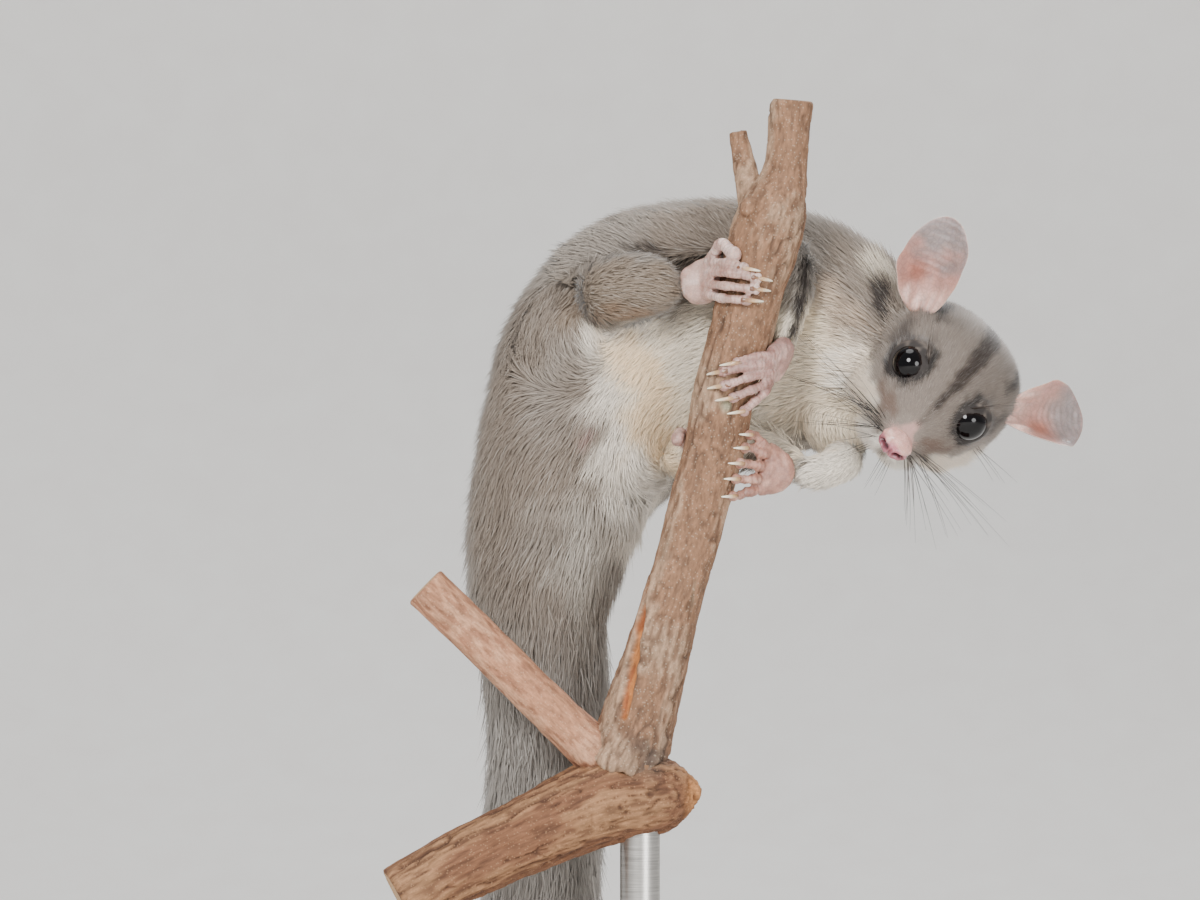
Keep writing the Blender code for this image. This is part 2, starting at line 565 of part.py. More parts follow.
def tail_locks():
    """Every lock with the height of its root, ring by ring, each ring half a step round from the last."""
    draw = random.Random(5)
    made = []
    for ring in range(LOCK_RINGS):
        height = LOCK_TOP - LOCK_STEP * ring
        near_tip = max(0.0, min(1.0, (62.0 - height) / 26.0))
        count = LOCKS_IN_RING + (ring == 0) - round(2.0 * near_tip)
        for i in range(count):
            angle = 360.0 / count * (i + 0.5 * (ring % 2)) + draw.uniform(-2, 2)
            length = LOCK_LENGTH + draw.uniform(-2.0, 2.0) - 4.0 * near_tip
            width = LOCK_WIDTH * min(1.25, (core_radius(height) + 2.2) / 10.4) * draw.uniform(0.92, 1.0)
            reach = draw.uniform(0.94, 1.05)
            made.append((height, lock(height + draw.uniform(-0.8, 0.8), angle, length, width,
                                      draw.uniform(-6, 6), reach)))
    return made


def make_tail(grip, fur):
    """The tail's three lengths, each a core with its own rings of locks fused on."""
    locks = tail_locks()
    edges = (CORE[-1][0], *TAIL_CUTS)
    for name, low, high, rings in (("tail_tip", edges[0], edges[1] - GAP / 2, 6),
                                   ("tail_middle", edges[1] + GAP / 2, edges[2] - GAP / 2, 5),
                                   ("tail_root", edges[2] + GAP / 2, edges[3] - GAP / 2, 9)):
        core = as_object(name, tail_core(low, high, rings), fur, grip)
        own = [bm for height, bm in locks if low < height <= high + GAP]
        boolean(core, helpers(grip, *own), "UNION", LOCK_SOLVER)
        keep_largest(core)


def make_trunk(grip, fur, limbs):
    """The torso and the neck, on the one curve that the tail is on too, and parted by thin gaps."""
    top_of_tail = length_share(TAIL_AND_TRUNK, 2, TAIL_CUTS[-1])[0]
    neck, length = length_share(TAIL_AND_TRUNK, 0, NECK_CUT_X)
    half = GAP / 2 / length
    torso = trunk_piece("torso", top_of_tail + half, neck - half, 22, 14, fur, grip)
    neck = trunk_piece("neck", neck + half, 1.0, 18, 6, fur, grip, (False, True))
    boolean(neck, helpers(grip, head_form(GAP), jaw_form(GAP), *[limb(GAP) for limb in limbs]), "DIFFERENCE")
    boolean(torso, helpers(grip, *[limb(GAP) for limb in limbs]), "DIFFERENCE")
    keep_largest(neck)
    keep_largest(torso)


def make_limb(name, rows, sides, rings, finish, grip, cutters):
    def form(grow=0.0):
        return tube(wide(rows), sides, rings, facing=limb_facing(rows), grow=grow)
    obj = as_object(name, form(), finish, grip)
    if cutters:
        boolean(obj, helpers(grip, *[cutter(GAP) for cutter in cutters]), "DIFFERENCE")
        keep_largest(obj)
    return form


def limb_facing(rows):
    """A direction well away from the limb's own, to set its rings by."""
    run = Vector(rows[-1][:3]) - Vector(rows[0][:3])
    return (0.0, 0.0, 1.0) if abs(run.normalized().z) < 0.7 else (1.0, 0.0, 0.0)


def knuckle(palm, track):
    """Where a digit is rooted: inside the palm, moved towards the digit's own height."""
    centre, half_width = palm[-2][:3], palm[-2][3]
    aside = max(-0.6 * half_width, min(0.6 * half_width, track[0][0] - centre[2]))
    return (centre[0] + 0.2 * aside, centre[1], centre[2] + aside)


def digit(palm, track, radius):
    """One finger or toe along the stem's bark, with a swollen pad at its tip."""
    points = [knuckle(palm, track)] + [on_stem(*place) for place in track]
    sizes = (radius, radius * 1.05, radius * 0.88, radius)
    rows = [(*p, r) for p, r in zip(points, sizes)]
    return tube(wide(rows), 6, 4, facing=(0.0, 0.1, 1.0))


def claw(track, turn):
    """A curved claw from the top of a digit's tip down to the bark."""
    height, angle, lift = track[-1]
    fall = track[-1][0] - track[-2][0]
    fall = max(-1.0, min(1.0, fall)) * 0.6
    rows = []
    for share in (-0.35, 0.35, 0.75, 1.0):
        place = on_stem(height + fall * share, angle + turn * share, lift + 0.55 - 0.75 * share ** 2)
        rows.append((*place, CLAW_RADIUS * (1 - 0.72 * max(0.0, share) ** 1.5)))
    return tube(wide(rows), 4, 3, facing=(0.0, 0.1, 1.0))


def claw_turn(track):
    """Degrees round the stem that a claw of CLAW_LENGTH reaches, on past the digit's tip."""
    radius = stem_at(track[-1][0])[2]
    onward = 1 if track[-1][1] > track[-2][1] else -1
    return onward * math.degrees(CLAW_LENGTH / radius)


def make_paw(name, palm, tracks, clawless, finish, grip):
    """A hand or foot: a flat palm, five digits and their claws, fused, and pressed on to the bark."""
    rows = [(x, y, z, thick, half_width, half_width, 0) for x, y, z, half_width, thick in palm]

    def form(grow=0.0):
        return tube(rows, 10, 5, facing=ALONG_STEM, grow=grow)
    obj = as_object(name, form(), finish, grip)
    pieces = []
    for i, track in enumerate(tracks):
        pieces.append(digit(palm, track, FINGER_RADIUS * (1.4 if i in clawless else 1.0)))
        if i not in clawless:
            pieces.append(claw(track, claw_turn(track)))
    boolean(obj, helpers(grip, *pieces), "UNION")
    boolean(obj, helpers(grip, stem_form(GAP)), "DIFFERENCE")
    keep_largest(obj)
    return form


def stem_form(grow=0.0):
    return tube(wide(STEM), 12, 15, facing=(0.0, -1.0, 0.0), round_ends=(False, False), grow=grow)


def make_perch(grip, bark):
    stem = as_object("perch_stem", stem_form(), bark, grip)
    twig = tube(wide(STEM_TWIG), 8, 5, facing=(0.0, -1.0, 0.0), round_ends=(True, False))
    knot = tube(wide(STEM_KNOT), 8, 5, facing=(0.0, 0.0, 1.0))
    boolean(stem, helpers(grip, twig, knot), "UNION")
    keep_largest(stem)

    def bough_form(grow=0.0):
        return tube(wide(BOUGH), 12, 10, facing=(0.0, 0.0, -1.0), round_ends=(False, True), grow=grow)
    bough = as_object("perch_bough", bough_form(), bark, grip)
    boolean(bough, helpers(grip, stem_form(GAP), rod_form(GAP)), "DIFFERENCE")
    keep_largest(bough)
    side = as_object("perch_side_stem", tube(wide(SIDE_STEM), 12, 8, facing=(0.0, -1.0, 0.0),
                                             round_ends=(True, False)), bark, grip)
    boolean(side, helpers(grip, stem_form(GAP), bough_form(GAP)), "DIFFERENCE")
    keep_largest(side)


def rod_form(grow=0.0):
    """The rod in the grip frame, from inside the base up into the bough."""
    low, high = BASE_HEIGHT - ROD_SINK - grow, ROD_TOP + grow
    bm = bmesh.new()
    place = Matrix.Translation(Vector((ROD_X, 0, (low + high) / 2)) * MM)
    bmesh.ops.create_cone(bm, cap_ends=True, cap_tris=False, segments=16, radius1=(ROD_RADIUS + grow) * MM,
                          radius2=(ROD_RADIUS + grow) * MM, depth=(high - low) * MM, matrix=place)
    return bm


def collar_form(grow=0.0):
    bm = bmesh.new()
    place = Matrix.Translation(Vector((ROD_X, 0, BASE_HEIGHT + GAP + COLLAR_HEIGHT / 2)) * MM)
    bmesh.ops.create_cone(bm, cap_ends=True, cap_tris=False, segments=24, radius1=COLLAR_RADIUS * MM,
                          radius2=(COLLAR_RADIUS - 1) * MM, depth=COLLAR_HEIGHT * MM, matrix=place)
    return bm


def make_stand(grip, wood, metal):
    rod = as_object("stand_rod", rod_form(), metal, grip)
    boolean(rod, helpers(grip, collar_form()), "UNION")
    keep_largest(rod)
    bm = bmesh.new()
    bmesh.ops.create_cube(bm, size=1.0)
    bmesh.ops.scale(bm, vec=(BASE_LENGTH * MM, BASE_WIDTH * MM, BASE_HEIGHT * MM), verts=bm.verts)
    bmesh.ops.translate(bm, vec=(0, 0, BASE_HEIGHT / 2 * MM), verts=bm.verts)
    uprights = [e for e in bm.edges if abs(e.verts[0].co.z - e.verts[1].co.z) > BASE_HEIGHT / 2 * MM]
    bmesh.ops.bevel(bm, geom=uprights, offset=BASE_CORNER * MM, offset_type="OFFSET", affect="EDGES",
                    segments=5, profile=0.5, material=-1)
    rim = [e for e in bm.edges if all(v.co.z > (BASE_HEIGHT - 0.01) * MM for v in e.verts)]
    bmesh.ops.bevel(bm, geom=rim, offset=BASE_CHAMFER * MM, offset_type="OFFSET", affect="EDGES",
                    segments=2, profile=0.5, material=-1)
    base = as_object("stand_base", bm, wood)
    boolean(base, helpers(grip, rod_form(GAP)), "DIFFERENCE")
    keep_largest(base)


def build():
    clear_scene()
    grip = bpy.data.objects.new("grip_frame", None)
    bpy.context.scene.collection.objects.link(grip)
    grip.location = Vector(GRIP_AT) * MM
    bpy.context.view_layer.update()

    grey = material("grey_fur", FUR_GREY, 0.9)
    cream = material("cream_fur", FUR_CREAM, 0.9)
    pink = material("pink_skin", SKIN_PINK, 0.55)
    black = material("wet_eye", EYE_BLACK, 0.05)
    bark = material("bark", BARK_BROWN, 0.85)
    wood = material("stained_wood", WOOD_DARK, 0.4)
    metal = material("steel_rod", METAL_GREY, 0.35, 1.0)

    make_stand(grip, wood, metal)
    make_perch(grip, bark)
    make_head(grip, grey, pink, black)

    paws = {}
    for name, palm, tracks, clawless in (
            ("hand_right", PALM_RIGHT, HAND_RIGHT, ()), ("hand_left", PALM_LEFT, HAND_LEFT, ()),
            ("foot_right", SOLE_RIGHT, FOOT_RIGHT, (0,)), ("foot_left", SOLE_LEFT, FOOT_LEFT, (0,))):
        paws[name] = make_paw(name, palm, tracks, clawless, pink, grip)

    limbs = {}
    for side, fore, upper, shank, thigh in (
            ("right", FOREARM_RIGHT, UPPER_ARM_RIGHT, SHANK_RIGHT, THIGH_RIGHT),
            ("left", FOREARM_LEFT, UPPER_ARM_LEFT, SHANK_LEFT, THIGH_LEFT)):
        hand, foot = paws["hand_" + side], paws["foot_" + side]
        limbs["forearm_" + side] = make_limb("forearm_" + side, fore, 10, 7, grey, grip, [hand, stem_form])
        limbs["upper_arm_" + side] = make_limb("upper_arm_" + side, upper, 12, 7, grey, grip,
                                               [limbs["forearm_" + side], head_form, jaw_form])
        limbs["shank_" + side] = make_limb("shank_" + side, shank, 12, 8, grey, grip, [foot, stem_form])
        other_thigh = [limbs[key] for key in limbs if key.startswith("thigh")]
        limbs["thigh_" + side] = make_limb("thigh_" + side, thigh, 14, 8, grey, grip,
                                           [limbs["shank_" + side], foot, *other_thigh])

    membranes = []
    for side, rows in (("right", MEMBRANE_RIGHT), ("left", MEMBRANE_LEFT)):
        lean = (0.0, -1.0, -0.25) if side == "right" else (0.0, -1.0, 0.2)
        flat = [(x, y, z, thick, half, half, 0) for x, y, z, thick, half in rows]

        def form(grow=0.0, flat=flat, lean=lean):
            return tube(flat, 6, 15, facing=lean, grow=grow)
        membrane = as_object("membrane_" + side, form(), grey, grip)
        near = [limbs[key] for key in limbs if key.endswith(side)] + [stem_form, paws["hand_" + side], paws["foot_" + side]]
        boolean(membrane, helpers(grip, *[cutter(GAP) for cutter in near]), "DIFFERENCE")
        keep_largest(membrane)
        membranes.append(form)

    make_tail(grip, grey)
    make_trunk(grip, grey, [*limbs.values(), *membranes, *paws.values(), stem_form])


build()
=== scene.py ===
import math
import random

import bmesh
import bpy
import numpy as np
from mathutils import Matrix, Vector


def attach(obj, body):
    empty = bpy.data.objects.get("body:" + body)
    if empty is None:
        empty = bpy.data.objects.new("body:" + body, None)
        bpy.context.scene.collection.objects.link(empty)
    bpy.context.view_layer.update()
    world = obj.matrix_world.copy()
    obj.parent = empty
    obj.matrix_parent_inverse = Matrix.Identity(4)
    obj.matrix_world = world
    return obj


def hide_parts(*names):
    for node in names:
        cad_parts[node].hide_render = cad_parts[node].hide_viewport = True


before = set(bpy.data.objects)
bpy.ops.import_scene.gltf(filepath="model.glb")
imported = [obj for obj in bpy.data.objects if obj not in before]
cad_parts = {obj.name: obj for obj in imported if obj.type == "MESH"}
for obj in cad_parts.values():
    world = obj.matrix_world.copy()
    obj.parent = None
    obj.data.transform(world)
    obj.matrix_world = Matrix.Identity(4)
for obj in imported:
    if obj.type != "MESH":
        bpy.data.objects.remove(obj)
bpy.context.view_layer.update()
print("frame:", len(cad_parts), "solids")

mm = 0.001
# The animal and its perch are laid out in millimetres in a grip frame, with y = 0 on the upright stem
gripFrame = Matrix.Translation(Vector((-6.0, -14.0, 0.0)) * mm) @ Matrix.Scale(mm, 4)


# camera, stage and lights

studio = {
    "lookAt": (-16.0, 0.0, 210.0),    # in the grip frame
    "distance": 1.5,
    "viewWidth": 0.24,                # what the picture's width shows at the stem
    "sensor": 36.0,
    "paperHalfWidth": 2.5,            # the paper sweep runs that far to each side and to the front
    "paperCurveFrom": 1.1,            # how far behind the part the paper starts to rise
    "paperCurveRadius": 0.5,
    "paperHeight": 2.6,
    "paperDrop": 0.0005,              # so that it doesn't touch the board's underside
    "paperShades": ("efece8", "f2f0ec"),
    "lights": (                       # name, place, aimed at, width, watts
        ("keyLight", (-0.45, -1.2, 0.8), 0.5, 22.0),
        ("fillLight", (0.75, -1.15, 0.3), 0.6, 11.0),
        ("rimLight", (0.35, 0.85, 0.9), 0.5, 9.0),
        ("topLight", (-0.1, -0.1, 1.3), 0.7, 7.0),
    ),
    "worldColour": "eef0f4",
    "worldStrength": 0.55,
}


def linear(code):
    # an sRGB hex colour as the linear one that the shaders take
    parts = [int(code[i:i + 2], 16) / 255 for i in (0, 2, 4)]
    return tuple(c / 12.92 if c <= 0.04045 else ((c + 0.055) / 1.055) ** 2.4 for c in parts) + (1.0,)


def addNode(tree, kind, settings=None, inputs=None):
    # one shader node: its settings, then its inputs, each a value or the socket that feeds it
    node = tree.nodes.new("ShaderNode" + kind)
    for key, value in (settings or {}).items():
        if key == "ramp":
            for i, (place, colour) in enumerate(value):
                stop = node.color_ramp.elements[i] if i < 2 else node.color_ramp.elements.new(place)
                stop.position, stop.color = place, linear(colour)
        else:
            setattr(node, key, value)
    for key, value in (inputs or {}).items():
        if isinstance(value, bpy.types.NodeSocket):
            tree.links.new(value, node.inputs[key])
        else:
            node.inputs[key].default_value = value
    return node


def newMaterial(name):
    made = bpy.data.materials.new(name)
    made.use_nodes = True
    return made, made.node_tree, made.node_tree.nodes["Principled BSDF"]


def setShader(tree, shader, inputs):
    for key, value in inputs.items():
        if isinstance(value, bpy.types.NodeSocket):
            tree.links.new(value, shader.inputs[key])
        else:
            shader.inputs[key].default_value = value


def setUpStudio():
    target = gripFrame @ Vector(studio["lookAt"])
    camera = bpy.data.objects.new("camera", bpy.data.cameras.new("camera"))
    bpy.context.scene.collection.objects.link(camera)
    camera.location = target + Vector((0, -studio["distance"], 0))
    camera.rotation_euler = (math.pi / 2, 0, 0)
    camera.data.sensor_width = studio["sensor"]
    camera.data.lens = studio["sensor"] * studio["distance"] / studio["viewWidth"]
    camera.data.clip_start = 0.01
    bpy.context.scene.camera = camera

    for name, place, width, watts in studio["lights"]:
        lamp = bpy.data.objects.new(name, bpy.data.lights.new(name, "AREA"))
        bpy.context.scene.collection.objects.link(lamp)
        lamp.location = place
        lamp.rotation_euler = (target - Vector(place)).to_track_quat("-Z", "Y").to_euler()
        lamp.data.shape = "DISK"
        lamp.data.size = width
        lamp.data.energy = watts

    world = bpy.data.worlds.new("studioAir")
    bpy.context.scene.world = world
    world.use_nodes = True
    air = world.node_tree.nodes["Background"]
    air.inputs["Color"].default_value = linear(studio["worldColour"])
    air.inputs["Strength"].default_value = studio["worldStrength"]

    # a sheet of pale paper: floor in front, curved up into the wall behind
    bm = bmesh.new()
    half, drop = studio["paperHalfWidth"], studio["paperDrop"]
    start, radius = studio["paperCurveFrom"], studio["paperCurveRadius"]
    low, high = bm.verts.new((-half, -half, -drop)), bm.verts.new((half, -half, -drop))
    strip = [bm.edges.new((low, high))]
    profile = [(start, 0.0)] + [(start + radius * math.sin(a), radius - radius * math.cos(a))
                                for a in np.linspace(0.15, math.pi / 2, 9)]
    profile.append((start + radius, studio["paperHeight"]))
    for y, z in profile:
        grown = bmesh.ops.extrude_edge_only(bm, edges=strip)["geom"]
        fresh = [g for g in grown if isinstance(g, bmesh.types.BMVert)]
        for vert in fresh:
            vert.co.y, vert.co.z = y, z - drop
        strip = [g for g in grown if isinstance(g, bmesh.types.BMEdge)]
    bmesh.ops.recalc_face_normals(bm, faces=bm.faces)
    mesh = bpy.data.meshes.new("paperSweep")
    bm.to_mesh(mesh)
    bm.free()
    mesh.shade_smooth()
    sweep = bpy.data.objects.new("paperSweep", mesh)
    bpy.context.scene.collection.objects.link(sweep)
    paper, tree, shader = newMaterial("backdropPaperMatt")    # matt card, so it only holds a soft shadow
    grain = addNode(tree, "TexNoise", None, {"Vector": addNode(tree, "TexCoord").outputs["Object"],
                                             "Scale": 60.0, "Detail": 3.0})
    tint = addNode(tree, "ValToRGB", {"ramp": list(zip((0.3, 0.7), studio["paperShades"]))},
                   {"Fac": grain.outputs["Fac"]})
    setShader(tree, shader, {"Base Color": tint.outputs["Color"], "Roughness": 0.9})
    mesh.materials.append(paper)


setUpStudio()
print("studio: camera, lights and paper sweep")


# the animal's own lines, as in the solids but for the left arm, which is held higher: x, y, z, then sizes,
# all in millimetres

trunkLine = [    # half width, belly depth, back depth, turn of the belly about z in degrees
    (-19.5, 27, 21, 4.0, 4.0, 4.0, 10), (-21, 27.5, 33, 8.6, 8.6, 8.6, 15), (-24, 28, 58, 11.2, 11, 11, 20),
    (-26.6, 28.4, 92, 12.2, 12, 12, 25), (-28, 28, 122, 12.4, 12.2, 12.2, 30),
    (-26.6, 27, 150, 12.3, 12.4, 12.4, 35), (-27.2, 26.2, 167, 14.0, 13.4, 13.4, 35),
    (-28.0, 25.4, 180, 15.8, 14.6, 14.8, 35), (-26.4, 24.8, 191, 17.2, 15.6, 16, 35),
    (-23.5, 24.5, 202, 19.8, 16.6, 17.4, 35), (-19, 25, 213, 23.8, 17.6, 18.4, 32),
    (-12.5, 26.5, 223.5, 28, 18, 19.2, 25), (-3, 28, 230.5, 30, 18.5, 19.5, 12),
    (9, 29, 234, 28.2, 18.5, 19.5, 0), (21, 28, 234, 26.2, 18, 19, -10),
             (31, 25.5, 231.5, 23.6, 17.5, 18, -15),
    (40, 21, 228, 19.6, 16, 16.5, -15), (48, 15.5, 225, 14.5, 13.5, 13.5, -15), (53, 12, 224, 9, 9, 9, -15)]
tailCore = [(213.0, 14.0), (202.0, 15.6), (191.0, 13.8), (180.0, 11.4), (171.0, 9.8), (160.0, 8.7),
            (140.0, 8.1), (90.0, 7.7),
            (60.0, 6.8), (42.0, 5.0), (32.0, 3.0)]    # height, radius of the tail under its hair
limbLines = {    # radius last
    "thighRight": [(-22, 25, 208, 9), (-23, 19.2, 220, 11.5), (-21.3, 15.2, 231.5, 11.6),
                   (-19, 12.2, 240, 9)],
    "shankRight": [(-20.5, 10.4, 240.2, 8.0), (-9, 4.6, 242.8, 7.4), (0.6, 1.2, 242.3, 4.6)],
    "thighLeft": [(-17, 24, 214, 11), (-9, 20, 208.5, 11), (-2, 16.5, 205, 8.4)],
    "shankLeft": [(-2.5, 15.8, 204, 6.6), (0, 14.4, 208, 5.4), (1.8, 12.5, 213, 3.9)],
    "upperArmRight": [(27.5, 20, 243, 8), (23.5, 13, 250.5, 5.4)],
    "forearmRight": [(23, 12.5, 251, 5.0), (22.6, 8, 241, 4.3), (20.2, 2.2, 231, 3.1)],
    "upperArmLeft": [(27, 22, 222, 9.0), (33, 17, 214.5, 7.6), (36.5, 12.5, 210, 5.4)],
    "forearmLeft": [(36.5, 12, 210, 5.2), (30, 7.6, 206.2, 4.5), (23.2, 3.6, 205.2, 3.2)],
}
membraneLines = {    # half thickness, half width
    "membraneRight": [(21.4, 5.6, 236, 0.9, 2.2), (23.6, 10, 244, 1.2, 3.4), (20, 13, 252.5, 1.5, 4.6),
                      (10, 13, 254, 1.5, 5.4), (-1, 11.5, 253.2, 1.5, 5.6), (-11, 10, 252, 1.5, 5.2),
                      (-20, 10, 248.5, 1.3, 4.4), (-25, 11.5, 243, 1.0, 3.0)],
    "membraneLeft": [(26.5, 9, 203.4, 0.9, 2.2), (22, 13.5, 208.5, 1.3, 4.0), (14, 15.5, 211, 1.5, 5.0),
                     (6, 16, 209, 1.4, 4.6), (1, 15.5, 204, 1.0, 3.0)],
}
head = {    # its own frame: x forward to the nose, y to the animal's left, z up
    "eyeMiddle": (3.6, 0.0, 0.45),          # between the eyes, in the head frame
    "eyeMiddleAt": (51.7, -1.0, 221.0),     # the same point in the grip frame
    "roll": 47.0, "pitch": 27.0, "yaw": 5.0,
    # x, height of the axis, half width, height over it, depth under it, narrowing towards the top
    "line": [(-29, 0, 5, 5, 5, 0), (-26, 0, 11, 7.2, 10, 0.06), (-20, -0.6, 15.8, 10.2, 14.6, 0.14),
             (-12, -1.8, 18.2, 13.6, 16.4, 0.24), (-5, -3.6, 18.6, 13.6, 14.8, 0.34),
             (1, -5.6, 16.8, 11.4, 12, 0.44), (5.5, -7, 12.8, 8.8, 8.6, 0.46),
             (9.5, -8.2, 8.6, 5.8, 5.6, 0.38),
             (13, -8.8, 5.8, 3.8, 3.8, 0.24), (15.8, -8.8, 3.8, 2.8, 2.8, 0.1)],
    "jaw": [(-5, -16.4, 7.8, 2.8), (2, -15.9, 6.4, 2.5), (8, -14.2, 4.6, 2.0), (12.8, -12.6, 2.8, 1.5)],
    "mouth": [(13.9, 0, -11.9), (12.9, 2.3, -12.1), (10, 4.3, -13.1), (6, 5.7, -14.5), (1, 6.9, -15.8)],
    "eyeCentre": (1.0, 7.75, -0.1), "eyeRadius": 4.2, "eyeLook": (0.85, 0.48, 0.17), "opening": 3.8,
}


def through(rows, count):
    # rows read off a smooth curve that passes through the given ones
    rows = np.array(rows, float)
    held = np.vstack([2 * rows[0] - rows[1], rows, 2 * rows[-1] - rows[-2]])
    read = []
    for u in np.linspace(0, len(rows) - 1, count):
        i = min(int(u), len(rows) - 2)
        f = u - i
        a, b, c, d = held[i:i + 4]
        read.append(0.5 * (2 * b + (c - a) * f + (2 * a - 5 * b + 4 * c - d) * f ** 2
                           + (3 * b - a - 3 * c + d) * f ** 3))
    return np.array(read)


def wide(rows):
    # limb rows of x, y, z, radius as trunk rows
    return [(x, y, z, r, r, r, 0.0) for x, y, z, r in rows]


def unit(vectors):
    return vectors / np.maximum(np.linalg.norm(vectors, axis=-1, keepdims=True), 1e-12)


def smoothStep(low, high, value):
    t = np.clip((value - low) / (high - low), 0.0, 1.0)
    return t * t * (3 - 2 * t)


def tube(rows, sides, rings, facing=None, roundEnds=(True, True), cut=(0.0, 1.0), grow=0.0, square=2.0):
    # a ball drawn out along the rows' curve, each ring an oval of the row's half width, belly and back depth
    fine = through(rows, 40 * len(rows))
    centres = fine[:, :3]
    travelled = np.concatenate([[0], np.cumsum(np.linalg.norm(np.diff(centres, axis=0), axis=1))])
    length = travelled[-1]
    start = cut[0] * length - grow * roundEnds[0]
    end = cut[1] * length + grow * roundEnds[1]
    tangents = unit(np.gradient(centres, axis=0))
    steps = rings - 1 + roundEnds[0] + roundEnds[1]
    u = (np.arange(rings) + roundEnds[0]) / steps
    if roundEnds[0] and roundEnds[1]:
        u = 0.45 * u + 0.55 * (1 - np.cos(np.pi * u)) / 2
    elif roundEnds[0]:
        u = 0.45 * u + 0.55 * (1 - np.cos(np.pi * u / 2))
    elif roundEnds[1]:
        u = 0.45 * u + 0.55 * np.sin(np.pi * u / 2)
    places = np.concatenate([[0.0], u, [1.0]]) * (end - start) + start
    ringData = []
    for distance in places:
        held = min(max(distance, 0.0), length)
        row = np.array([np.interp(held, travelled, fine[:, k]) for k in range(fine.shape[1])])
        tangent = unit(np.array([np.interp(held, travelled, tangents[:, k]) for k in range(3)]))
        width, belly, back, turn = row[3:7]
        towards = facing or (math.sin(math.radians(turn)), -math.cos(math.radians(turn)), 0.0)
        side = unit(np.cross(tangent, towards))
        front = np.cross(side, tangent)
        shrink = 1.0
        for isRound, left in ((roundEnds[0], distance - start), (roundEnds[1], end - distance)):
            reach = min(width, max(belly, back)) + grow
            if isRound and left < reach:
                shrink *= math.sqrt(max(0.0, 1 - (1 - left / reach) ** 2))
        ringData.append((row[:3] + tangent * (distance - held), side, front, shrink, width, belly, back,
                         sum(row[7:])))
    bm = bmesh.new()
    bmesh.ops.create_uvsphere(bm, u_segments=sides, v_segments=rings + 1, radius=1.0)
    for vert in bm.verts:
        ring = round(math.acos(max(-1.0, min(1.0, vert.co.z))) * (rings + 1) / math.pi)
        centre, side, front, shrink, width, belly, back, narrowing = ringData[ring]
        if ring in (0, rings + 1):
            vert.co = Vector(centre)
            continue
        angle = math.atan2(vert.co.y, vert.co.x)
        across = math.copysign(abs(math.cos(angle)) ** (2 / square), math.cos(angle))
        deep = math.copysign(abs(math.sin(angle)) ** (2 / square), math.sin(angle))
        depth = belly if deep > 0 else back
        width *= 1 - narrowing * (1 - deep) / 2
        vert.co = Vector(centre + (side * across * (width + grow) + front * deep * (depth + grow)) * shrink)
    bmesh.ops.recalc_face_normals(bm, faces=bm.faces)
    return bm


def ball(centre, size, sides=24, rings=16, turn=None):
    bm = bmesh.new()
    bmesh.ops.create_uvsphere(bm, u_segments=sides, v_segments=rings, radius=1.0)
    place = (Matrix.Translation(Vector(centre)) @ (turn or Matrix.Identity(4))
             @ Matrix.Diagonal((*size, 1.0)))
    bmesh.ops.transform(bm, matrix=place, verts=bm.verts)
    return bm


def swell(bm, centre, reach, amount):
    # pushes the surface near a point out along its normals, or in where the amount is negative
    bm.normal_update()
    centre = Vector(centre)
    moves = [vert.normal * amount * math.exp(-((vert.co - centre).length / reach) ** 2) for vert in bm.verts]
    for vert, move in zip(bm.verts, moves):
        vert.co += move


def placed(bm, matrix=gripFrame):
    bmesh.ops.transform(bm, matrix=matrix, verts=bm.verts)
    return bm


def makeObject(name, bm, material=None):
    if bm.calc_volume(signed=True) < 0:
        bmesh.ops.reverse_faces(bm, faces=bm.faces)
    mesh = bpy.data.meshes.new(name)
    bm.to_mesh(mesh)
    bm.free()
    mesh.shade_smooth()
    if material:
        mesh.materials.append(material)
    obj = bpy.data.objects.new(name, mesh)
    bpy.context.scene.collection.objects.link(obj)
    return obj


def fused(name, pieces, voxel, smoothing, material=None):
    # closed forms melted into one even surface by a voxel remesh, then smoothed
    whole = bmesh.new()
    for bm in pieces:
        if bm.calc_volume(signed=True) < 0:
            bmesh.ops.reverse_faces(bm, faces=bm.faces)
        part = bpy.data.meshes.new("part")
        bm.to_mesh(part)
        bm.free()
        whole.from_mesh(part)
        bpy.data.meshes.remove(part)
    obj = makeObject(name, whole, material)
    modifier = obj.modifiers.new("voxels", "REMESH")
    modifier.mode = "VOXEL"
    modifier.voxel_size = voxel * mm
    modifier.adaptivity = 0.0
    bpy.context.view_layer.update()
    made = bpy.data.meshes.new_from_object(obj.evaluated_get(bpy.context.evaluated_depsgraph_get()))
    obj.modifiers.clear()
    old = obj.data
    obj.data = made
    bpy.data.meshes.remove(old)
    made.name = name
    if material and not made.materials:
        made.materials.append(material)
    bm = bmesh.new()
    bm.from_mesh(made)
    for _ in range(smoothing):
        bmesh.ops.smooth_vert(bm, verts=bm.verts, factor=0.5, use_axis_x=True, use_axis_y=True,
                              use_axis_z=True)
    bm.to_mesh(made)
    bm.free()
    made.shade_smooth()
    return obj


def readPoints(mesh):
    # vertex places in the grip frame, in millimetres, and their normals
    count = len(mesh.vertices)
    points, normals = np.empty(count * 3, np.float32), np.empty(count * 3, np.float32)
    mesh.vertices.foreach_get("co", points)
    mesh.vertices.foreach_get("normal", normals)
    return points.reshape(-1, 3) / mm - np.array(gripFrame.translation) / mm, normals.reshape(-1, 3)


def writePoints(mesh, points):
    moved = (points + np.array(gripFrame.translation) / mm) * mm
    mesh.vertices.foreach_set("co", moved.astype(np.float32).ravel())
    mesh.update()


